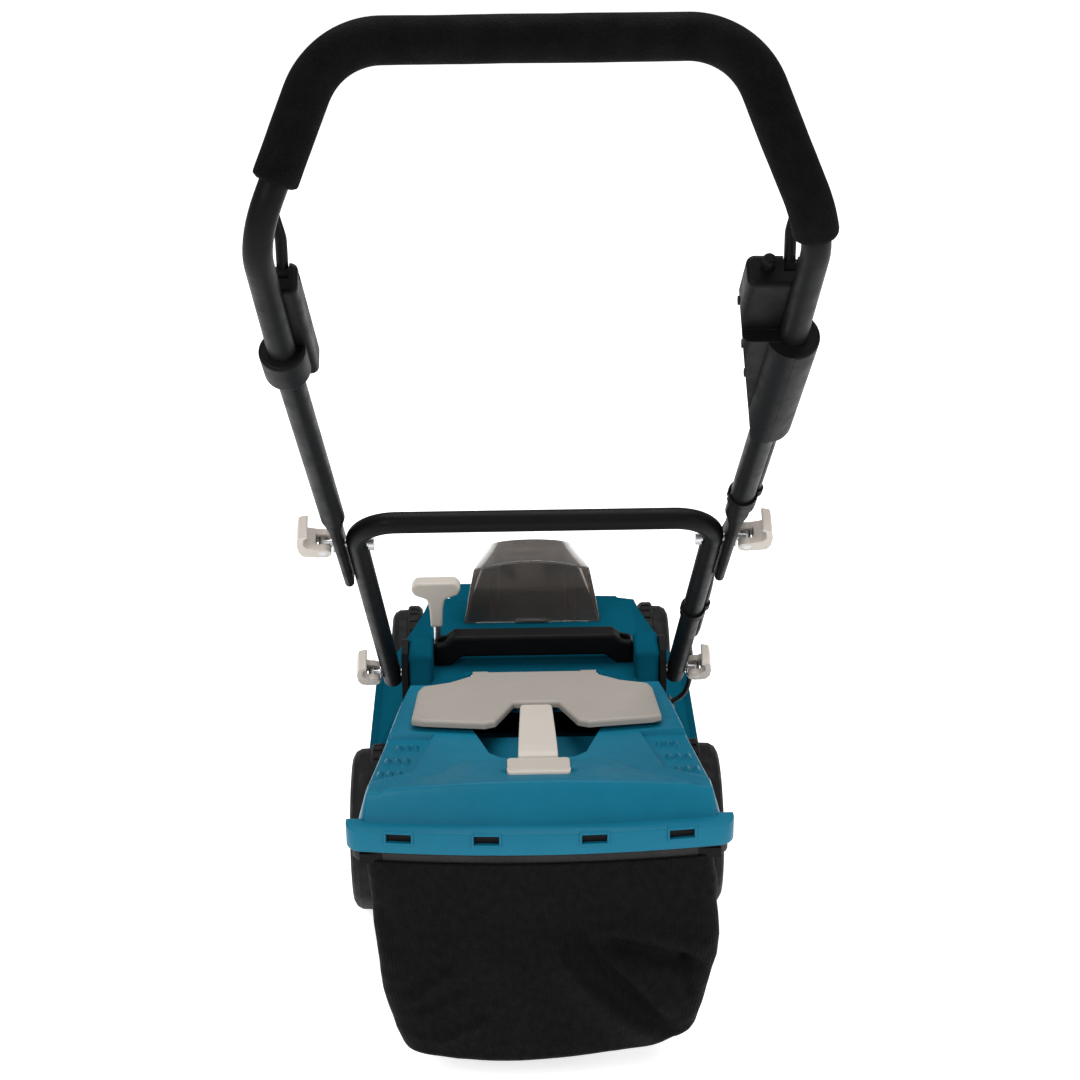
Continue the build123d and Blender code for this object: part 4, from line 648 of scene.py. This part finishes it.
def lid_solid(name, inset, drop, floor, nx=190, ny=180):
    s = np.linspace(0, 1, ny)
    s = s + 0.06 * np.sin(2 * np.pi * s) / (2 * np.pi) * -1.0
    t = np.linspace(-1, 1, nx)
    t = t + 0.22 * np.sin(np.pi * t) / np.pi
    T, S = np.meshgrid(t, s)
    front = 12 - inset
    y0 = front - S * (320 - 2 * inset)
    x = T * (half_width(y0) - inset)
    y = front + S * (lid_rear(x) + inset - front)
    z = lid_height(x, y) - drop
    top = np.stack([x, y, z], -1).reshape(-1, 3) * MM
    low = np.stack([x, y, np.full_like(x, floor)], -1).reshape(-1, 3) * MM
    n = nx * ny
    faces = []
    for j in range(ny - 1):
        for i in range(nx - 1):
            a = j * nx + i
            faces.append((a, a + nx, a + nx + 1, a + 1))
            faces.append((n + a, n + a + 1, n + a + nx + 1, n + a + nx))
    rim = [i for i in range(nx)] + [j * nx + nx - 1 for j in range(1, ny)] + [(ny - 1) * nx + i for i in range(nx - 2, -1, -1)] + [j * nx for j in range(ny - 2, 0, -1)]
    m = len(rim)
    for k in range(m):
        a, b = rim[k], rim[(k + 1) % m]
        faces.append((a, b, n + b, n + a))
    return piece(name, np.concatenate([top, low]), faces, teal)


def both(half):
    return half + [(-x, y) for x, y in reversed(half)]


lid = lid_solid("box_lid", 0.0, 0.0, 240.0)
hollow = lid_solid("lid_hollow", 3.5, 3.6, 238.0, 120, 110)
tub = prism("lid_tub", rounded(both([(69, -92), (69, -108.4), (48.8, -187.3), (35.3, -202.5)]), [0, 6, 8, 8, 8, 8, 6, 0]), 244, 330, teal)
cut(hollow, tub)
cut(lid, hollow)
pocket = prism("lid_pocket", rounded(both([(66, -66), (66, -108), (46, -186), (34, -199.5)]), [0, 5, 8, 8, 8, 8, 5, 0]), 247, 330, teal)
cut(lid, pocket)
window = prism("lid_window", rounded([(21, -218), (21, -234), (-21, -234), (-21, -218)], 3), 268, 330, teal)
cut(lid, window)
soften = lid.modifiers.new("soften", "BEVEL")
soften.width = 0.0011
soften.segments = 2
soften.limit_method = "ANGLE"
soften.angle_limit = math.radians(48)
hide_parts("grass_box_lid")
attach(lid, "grass_box")


def lid_z_at(x, y):
    return float(lid_height(np.array([float(x)]), np.array([float(y)]))[0])


# handle strap over the pocket, up to the notch of the flap
def strip(name, stations, mat, width):
    vs, fs = [], []
    for y, w, top, low in stations:
        vs += [(-w * MM, y * MM, top * MM), (w * MM, y * MM, top * MM), (w * MM, y * MM, low * MM), (-w * MM, y * MM, low * MM)]
    for k in range(len(stations) - 1):
        a, b = 4 * k, 4 * k + 4
        for i in range(4):
            j = (i + 1) % 4
            fs.append((a + i, a + j, b + j, b + i))
    e = 4 * len(stations) - 4
    fs += [(3, 2, 1, 0), (e, e + 1, e + 2, e + 3)]
    ob = piece(name, vs, fs, mat, 30)
    round_off = ob.modifiers.new("round", "BEVEL")
    round_off.width = width
    round_off.segments = 3
    round_off.limit_method = "ANGLE"
    round_off.angle_limit = math.radians(40)
    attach(ob, "grass_box")
    return ob


strap = strip("box_strap", [(-77.0, 11.5, 275.4, 270.0), (-78.2, 13.8, 276.0, 269.8), (-80.5, 15.2, 276.4, 269.8), (-84, 15.8, 277.2, 270.6),
                            (-100, 16.2, 280.0, 273.6), (-120, 16.7, 283.4, 277.2), (-150, 17.5, 287.6, 281.6), (-180, 18.3, 290.8, 285.0),
                            (-196, 18.7, 291.0, 285.2), (-202, 18.8, 290.2, 285.4), (-204.6, 18.8, 288.6, 285.8)], beige, 0.0013)
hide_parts("box_handle")
leg = strip("strap_leg", [(-94.5, 13.5, 276.0, 246.6), (-101.5, 13.5, 277.0, 246.6)], beige, 0.0008)
pad = strip("indicator_pad", [(y, w, lid_z_at(0, y) + h, lid_z_at(0, y) - 1.5) for y, w, h in
                              ((-249.2, 29.4, 4.2), (-254.5, 29.4, 4.0), (-258.6, 28.6, 3.2), (-260.4, 27.0, 1.2))], beige, 0.0009)
for s in (1, -1):
    y0 = -245.5
    ear = piece("indicator_ear_right" if s > 0 else "indicator_ear_left",
                [(s * x * MM, (y0 + dy) * MM, (lid_z_at(30, y0) + dz) * MM) for x in (29.8, 34.2)
                 for dy, dz in ((6, -1.5), (3, 4.2), (-3, 4.6), (-8, -1.5))],
                [(0, 1, 2, 3), (7, 6, 5, 4), (0, 4, 5, 1), (1, 5, 6, 2), (2, 6, 7, 3), (3, 7, 4, 0)] if s < 0 else
                [(3, 2, 1, 0), (4, 5, 6, 7), (1, 5, 4, 0), (2, 6, 5, 1), (3, 7, 6, 2), (0, 4, 7, 3)], teal, 30)
    soft = ear.modifiers.new("round", "BEVEL")
    soft.width = 0.0007
    soft.segments = 2
    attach(ear, "grass_box")


# pyramid grips on both panels
gv, gf = [], []
for sx in (1, -1):
    for y, xs in ((-156.5, (117, 125, 133)), (-190.4, (124, 133, 142)), (-223, (129.7, 138.6, 147.5))):
        for gx in xs:
            b = len(gv)
            for px, py, pz in ((-4.3, -8.0, -1.2), (4.3, -8.0, -1.2), (4.3, 8.0, -1.2), (-4.3, 8.0, -1.2), (0.0, -3.6, 5.2), (0.0, 0.6, 5.2)):
                wx, wy = sx * gx + px, y + py
                gv.append((wx * MM, wy * MM, (lid_z_at(sx * gx, y) - 0.158 * py + pz) * MM))
            gf += [(b, b + 3, b + 2, b + 1), (b, b + 1, b + 4), (b + 1, b + 2, b + 5, b + 4), (b + 2, b + 3, b + 5), (b + 3, b, b + 4, b + 5)]
grips = piece("lid_grips", gv, gf, teal, 30)
m = grips.modifiers.new("round", "BEVEL")
m.width = 0.0008
m.segments = 3
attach(grips, "grass_box")


# the rim along the back, with its four slots and the tabs behind them
def rim_rear(x):
    return -318 + 12 * (x / 165) ** 2


def rim_band(name, reach, z0, z1, mat, off=0.0, wall=10.0, corner=16.0):
    """A band round the back of the box, seen from above as a U."""
    x_end = 176 - off
    outer = [(x_end, -reach)]
    for k in range(9):
        a = math.pi / 2 * k / 8
        cx, cy = x_end - corner, rim_rear(x_end - corner) + off + corner
        outer.append((cx + corner * math.cos(a), cy - corner * math.sin(a)))
    xs = np.linspace(x_end - corner, -(x_end - corner), 61)[1:-1]
    outer += [(float(x), rim_rear(float(x)) + off) for x in xs]
    for k in range(8, -1, -1):
        a = math.pi / 2 * k / 8
        cx, cy = -(x_end - corner), rim_rear(x_end - corner) + off + corner
        outer.append((cx - corner * math.cos(a), cy - corner * math.sin(a)))
    outer.append((-x_end, -reach))
    inner = [(-(x_end - wall), -reach)]
    xs = np.linspace(-(x_end - wall - 6), x_end - wall - 6, 41)
    inner += [(float(x), min(rim_rear(float(x)) + off + wall, -reach - 1)) for x in xs]
    inner.append((x_end - wall, -reach))
    return prism(name, outer + inner, z0, z1, mat)


rim = rim_band("box_rim", 284, 252, 274, teal, wall=17.0)
m = rim.modifiers.new("round", "BEVEL")
m.width = 0.0011
m.segments = 3
m.limit_method = "ANGLE"
m.angle_limit = math.radians(50)
bpy.context.view_layer.update()
applied(rim)
SLOTS = (-127.5, -48.5, 48.5, 127.5)
fv, ff = [], []
for sx in SLOTS:
    y = rim_rear(sx)
    lean = math.atan(2 * 12 * sx / 165 ** 2)
    c, s = math.cos(lean), math.sin(lean)

    def put(px, py, c=c, s=s, sx=sx, y=y):
        return (sx + px * c - py * s, y + px * s + py * c)
    tool = prism("slot_tool", [put(-11.5, -6), put(11.5, -6), put(11.5, 8.0), put(-11.5, 8.0)], 263.6, 272.6, teal)
    cut(rim, tool)
    # raised frame
    for (x0, x1, z0, z1) in ((-13.4, -11.4, 261.4, 274.8), (11.4, 13.4, 261.4, 274.8), (-11.5, 11.5, 261.4, 263.7), (-11.5, 11.5, 272.5, 274.8)):
        b = len(fv)
        for px, py in ((x0, -1.1), (x1, -1.1), (x1, 3.0), (x0, 3.0)):
            q = put(px, py)
            fv.append((q[0] * MM, q[1] * MM, z0 * MM))
        for px, py in ((x0, -1.1), (x1, -1.1), (x1, 3.0), (x0, 3.0)):
            q = put(px, py)
            fv.append((q[0] * MM, q[1] * MM, z1 * MM))
        ff += [(b, b + 3, b + 2, b + 1), (b + 4, b + 5, b + 6, b + 7), (b, b + 1, b + 5, b + 4), (b + 1, b + 2, b + 6, b + 5),
               (b + 2, b + 3, b + 7, b + 6), (b + 3, b, b + 4, b + 7)]
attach(rim, "grass_box")
frames = piece("slot_frames", fv, ff, teal, 30)
m = frames.modifiers.new("round", "BEVEL")
m.width = 0.0004
m.segments = 2
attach(frames, "grass_box")
tv, tf = [], []
for sx in SLOTS:
    y = rim_rear(sx)
    lean = math.atan(2 * 12 * sx / 165 ** 2)
    c, s = math.cos(lean), math.sin(lean)
    b = len(tv)
    for z in (263.0, 273.0):
        for px, py in ((-11.8, 2.6), (11.8, 2.6), (11.8, 6.0), (-11.8, 6.0)):
            tv.append(((sx + px * c - py * s) * MM, (y + px * s + py * c) * MM, z * MM))
    tf += [(b, b + 3, b + 2, b + 1), (b + 4, b + 5, b + 6, b + 7), (b, b + 1, b + 5, b + 4), (b + 1, b + 2, b + 6, b + 5),
           (b + 2, b + 3, b + 7, b + 6), (b + 3, b, b + 4, b + 7)]
tabs = piece("bag_tabs", tv, tf, black, 30)
m = tabs.modifiers.new("round", "BEVEL")
m.width = 0.0005
m.segments = 2
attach(tabs, "grass_box")


# ------------------------------------------------------------------------ bag
def table(pairs, q):
    xs = [p[0] for p in pairs]
    ys = [p[1] for p in pairs]
    return float(np.interp(q, xs, ys))


LEFT = [(36, 127), (55, 131), (70, 138), (90, 144.5), (110, 150), (127, 153), (140, 153.5), (170, 155), (205, 156.5), (225, 158), (240, 158.5)]
RIGHT = [(36, 142), (55, 148), (70, 152), (90, 155), (110, 160), (125, 165), (145, 167), (170, 166), (205, 163), (225, 159), (240, 158.5)]
REAR = [(36, -335), (55, -339), (70, -339), (90, -337), (110, -334), (140, -330), (170, -325), (205, -320), (240, -315)]
FRONT = [(36, -70), (90, -62), (150, -54), (240, -43)]
BOTTOM = [(-130, 48), (-118, 46), (-80, 41), (-44, 38.5), (-21, 38), (15, 40), (70, 47), (115, 57), (137, 63), (150, 70)]
SIDE_N, ARC_N = 64, 12


def bag_loop(z, inset=0.0):
    """One closed loop round the bag at a height, always with the same number of points."""
    xl, xr = table(LEFT, z) - inset, table(RIGHT, z) - inset
    yr, yf = table(REAR, z) + inset, table(FRONT, z) - inset
    xf = table([(36, 108), (90, 116), (150, 122), (240, 130)], z) - inset
    r_rear = table([(36, 30), (80, 24), (240, 14)], z)
    r_front = table([(36, 26), (240, 10)], z)
    corners = [(xf, yf, r_front), (-xf, yf, r_front), (-xl, yr, r_rear), (xr, yr, r_rear)]
    pts = []
    n = 4
    ends = []
    for i in range(n):
        p = Vector(corners[i][:2])
        a = Vector(corners[i - 1][:2])
        b = Vector(corners[(i + 1) % n][:2])
        d1, d2 = (a - p).normalized(), (b - p).normalized()
        t = corners[i][2] / math.tan(d1.angle(d2) / 2)
        ends.append((p + d1 * t, p, p + d2 * t))
    for i in range(n):
        s, p, e = ends[i]
        for k in range(ARC_N):
            u = k / ARC_N
            pts.append((1 - u) ** 2 * s + 2 * u * (1 - u) * p + u * u * e)
        nxt = ends[(i + 1) % n][0]
        for k in range(SIDE_N):
            pts.append(e + (nxt - e) * (k / SIDE_N))
    # the back bows out, and so do the sides a little
    bow = table([(36, 6), (90, 9), (200, 12), (240, 12)], z)
    mid = (yr + yf) / 2
    out = []
    for p in pts:
        x, y = p.x, p.y
        back = max(0.0, min(1.0, (mid - y) / (mid - yr)))
        y += bow * (x / 165.0) ** 2 * back ** 3
        belly = math.sin(math.pi * min(1, max(0, (y - yr) / (yf - yr))))
        x += math.copysign(1.0, x) * 4.0 * belly * min(1.0, abs(x) / xf) ** 6
        out.append((x, y))
    return out


def seg_distance(u, v, pts):
    """Signed distance to a line of points in the picture, and how far along it the nearest point is."""
    best, side, along = 1e9, 1.0, 0.0
    run, total_len = 0.0, sum(math.dist(a, b) for a, b in zip(pts, pts[1:]))
    for (x0, y0), (x1, y1) in zip(pts, pts[1:]):
        dx, dy = x1 - x0, y1 - y0
        l2 = dx * dx + dy * dy
        t = max(0.0, min(1.0, ((u - x0) * dx + (v - y0) * dy) / l2))
        d = math.hypot(u - x0 - dx * t, v - y0 - dy * t)
        if d < best:
            best = d
            side = 1.0 if dx * (v - y0) - dy * (u - x0) > 0 else -1.0
            along = (run + math.sqrt(l2) * t) / total_len
        run += math.sqrt(l2)
    return best * side, along


# folds: line in the picture, height in mm, spread on each side of the line
FOLDS = [
    ([(546, 930), (577, 979), (615, 1010), (665, 1040)], 9.0, 17.0, 7.0),
    ([(565, 917), (590, 957), (628, 990), (672, 1030)], -5.0, 6.0, 6.0),
    ([(585, 931), (610, 957), (640, 985), (670, 1022)], 7.0, 5.0, 14.0),
    ([(588, 939), (640, 951), (686, 962), (706, 970)], -8.0, 8.0, 6.5),
    ([(590, 925), (640, 934), (690, 944), (716, 952)], 3.5, 8.0, 12.0),
    ([(684, 952), (687, 972), (690, 1000)], -5.0, 5.0, 5.0),
    ([(404, 1006), (425, 990), (455, 970)], 4.0, 7.0, 5.0),
    ([(412, 1012), (440, 1000), (470, 985)], -2.5, 6.0, 6.0),
    ([(430, 1046), (455, 1036), (490, 1020)], 3.0, 6.0, 6.0),
    ([(520, 900), (530, 950), (548, 1000), (560, 1050)], -3.5, 20.0, 20.0),
    ([(375, 900), (392, 930), (398, 960)], -2.5, 9.0, 9.0),
    ([(450, 880), (470, 930), (490, 970)], 2.0, 14.0, 14.0),
]


def fold_height(u, v):
    h = 0.0
    for pts, amount, low, high in FOLDS:
        d, along = seg_distance(u, v, pts)
        width = low if d > 0 else high
        taper = min(1.0, along * 5 + 0.15, (1 - along) * 5 + 0.25)
        h += amount * taper * math.exp(-(d / width) ** 2)
    return h


WALL_ROWS = 96
loops, heights = [], []
for i in range(WALL_ROWS + 1):
    loops.append(i / WALL_ROWS)
ring_n = 4 * (SIDE_N + ARC_N)
verts, uvs = [], []
top_loop = bag_loop(240)
lengths = [0.0]
for k in range(1, ring_n + 1):
    a, b = top_loop[k - 1], top_loop[k % ring_n]
    lengths.append(lengths[-1] + math.dist(a, b))
for q in loops:
    base = bag_loop(240 - q * 185)
    row = []
    for k, (x, y) in enumerate(base):
        zb = table(BOTTOM, x) + 7.0
        z = 241 + (zb - 241) * q
        row.append((x, y, z))
    # a copy of the row of points
    fixed = []
    for k, (x, y, z) in enumerate(row):
        fixed.append((x, y, z))
    for k, (x, y, z) in enumerate(fixed):
        xa, ya, _ = fixed[k - 1]
        xb, yb, _ = fixed[(k + 1) % ring_n]
        nx, ny = -(yb - ya), (xb - xa)
        l = math.hypot(nx, ny) or 1.0
        nx, ny = nx / l, ny / l
        if nx * x + ny * (y + 190) < 0:
            nx, ny = -nx, -ny
        rear = max(0.0, -ny) ** 1.5
        side = abs(nx) ** 2
        u, vv = seen_at((x * MM, y * MM, z * MM))
        hold = min(1.0, q * 7.0)
        h = fold_height(u, vv) * rear * hold
        h += 1.5 * noise.noise(Vector((x * 0.017, y * 0.017, z * 0.014))) * hold
        h += 0.5 * noise.noise(Vector((x * 0.05 + 7, y * 0.05, z * 0.04))) * hold
        h += side * hold * (3.2 * noise.noise(Vector((y * 0.012 + z * 0.010, z * 0.020, 3.0 + x * 0.001))) - 2.0 * math.sin(math.pi * q) * 0.6)
        verts.append(((x + nx * h) * MM, (y + ny * h) * MM, z * MM))
        uvs.append((lengths[k] * MM, z * MM))
# rolled bottom edge and floor of the bag
last_row = [Vector(verts[WALL_ROWS * ring_n + k]) for k in range(ring_n)]
centre = sum(last_row, Vector()) / ring_n
for inset, drop in ((2.0, 3.6), (5.5, 5.9), (11.0, 7.0), (24.0, 7.8)):
    for k, p in enumerate(last_row):
        d = Vector((centre.x - p.x, centre.y - p.y, 0))
        l = d.length
        verts.append(tuple(p + d / l * inset * MM + Vector((0, 0, -drop * MM))))
        uvs.append((lengths[k] * MM, uvs[WALL_ROWS * ring_n + k][1] - inset * MM))
for share in (0.45, 0.7, 0.9):
    for k, p in enumerate(last_row):
        flat = Vector((p.x + (centre.x - p.x) * share, p.y + (centre.y - p.y) * share, p.z * (1 - share) + 0.045 * share - 0.0078))
        verts.append(tuple(flat))
        uvs.append((flat.x, flat.y))
rows = WALL_ROWS + 1 + 4 + 3
verts.append((centre.x, centre.y, 0.045 - 0.0078))
uvs.append((centre.x, centre.y))
faces = []
for i in range(rows - 1):
    for k in range(ring_n):
        j = (k + 1) % ring_n
        quad = (i * ring_n + k, i * ring_n + j, (i + 1) * ring_n + j, (i + 1) * ring_n + k)
        if i < WALL_ROWS:
            cx = sum(verts[q][0] for q in quad) / 4
            cy = sum(verts[q][1] for q in quad) / 4
            cz = sum(verts[q][2] for q in quad) / 4
            if cy > -0.085 and abs(cx) < 0.100 and 0.088 < cz < 0.226:
                continue
        faces.append(quad)
for k in range(ring_n):
    faces.append(((rows - 1) * ring_n + k, (rows - 1) * ring_n + (k + 1) % ring_n, rows * ring_n))
bag = piece("bag_cloth", verts, faces, bag_cloth, 70, uvs)
bm = bmesh.new()
bm.from_mesh(bag.data)
bmesh.ops.recalc_face_normals(bm, faces=bm.faces)
bm.to_mesh(bag.data)
bm.free()
smooth(bag.data, 70)
m = bag.modifiers.new("cloth", "SOLIDIFY")
m.thickness = 0.0014
m.offset = -1
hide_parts("grass_bag")
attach(bag, "grass_box")

hem = rim_band("bag_hem", 284, 239.0, 251.6, tape, off=5.0, wall=7.0, corner=13.0)
lay = hem.data.uv_layers.new(name="UVMap")
for loop in hem.data.loops:
    co = hem.data.vertices[loop.vertex_index].co
    lay.data[loop.index].uv = (co.x + co.y * 0.6, co.z)
m = hem.modifiers.new("round", "BEVEL")
m.width = 0.0018
m.segments = 3
m.limit_method = "ANGLE"
m.angle_limit = math.radians(50)
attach(hem, "grass_box")


# ------------------------------------------------------------------- the stage
floor_shader = Shader("floor_paper")
fvec = floor_shader.coords()
ftone = floor_shader.mix(floor_shader.span(floor_shader.noise(fvec, 2.0, 3), 0.3, 0.7, 0, 1), (0.90, 0.90, 0.90), (0.93, 0.93, 0.93))
floor_shader.set(Emission_Color=(1.0, 1.0, 1.0, 1.0), Emission_Strength=0.70, Specular_IOR_Level=0.1)
floor_mat = floor_shader.finish(ftone, floor_shader.span(floor_shader.noise(fvec, 6, 3), 0.3, 0.7, 0.85, 0.95),
                                floor_shader.bump(floor_shader.noise(fvec, 300, 2), 0.1, 0.0003))
floor = piece("floor", [(-9, -6, 0), (9, -6, 0), (9, 12, 0), (-9, 12, 0)], [(0, 1, 2, 3)], floor_mat)

world = bpy.data.worlds.new("studio")
scene.world = world
world.use_nodes = True
wt = world.node_tree
room = wt.nodes["Background"]
room.inputs["Color"].default_value = (0.97, 0.985, 1.0, 1.0)
room.inputs["Strength"].default_value = 0.24
paper = wt.nodes.new("ShaderNodeBackground")
paper.inputs["Color"].default_value = (1.0, 1.0, 1.0, 1.0)
paper.inputs["Strength"].default_value = 1.0
path = wt.nodes.new("ShaderNodeLightPath")
either = wt.nodes.new("ShaderNodeMixShader")
wt.links.new(path.outputs["Is Camera Ray"], either.inputs[0])
wt.links.new(room.outputs[0], either.inputs[1])
wt.links.new(paper.outputs[0], either.inputs[2])
wt.links.new(either.outputs[0], wt.nodes["World Output"].inputs["Surface"])


def area(name, at, to, size, power, color=(1, 1, 1)):
    li = bpy.data.lights.new(name, "AREA")
    li.shape = "RECTANGLE"
    li.size, li.size_y = size
    li.energy = power
    li.color = color
    ob = bpy.data.objects.new(name, li)
    scene.collection.objects.link(ob)
    ob.location = at
    ob.rotation_euler = (Vector(to) - Vector(at)).to_track_quat("-Z", "Y").to_euler()
    return ob


area("key", (-1.6, -2.6, 2.6), (0, -0.1, 0.35), (1.5, 1.2), 62)
area("fill", (2.4, -1.8, 1.5), (0, -0.1, 0.4), (1.2, 1.2), 24)
area("top", (0.2, 0.9, 3.2), (0, 0.1, 0.0), (3.2, 2.4), 95)

cam = bpy.data.cameras.new("photo_view")
cam.sensor_fit = "HORIZONTAL"
cam.sensor_width = 36.0
cam.lens = FOCAL / 1080.0 * 36.0
cam.clip_end = 100
cam_ob = bpy.data.objects.new("photo_view", cam)
scene.collection.objects.link(cam_ob)
cam_ob.matrix_world = Matrix.Translation(CAM) @ TURN
scene.camera = cam_ob
scene.view_settings.view_transform = "Standard"
scene.view_settings.look = "None"
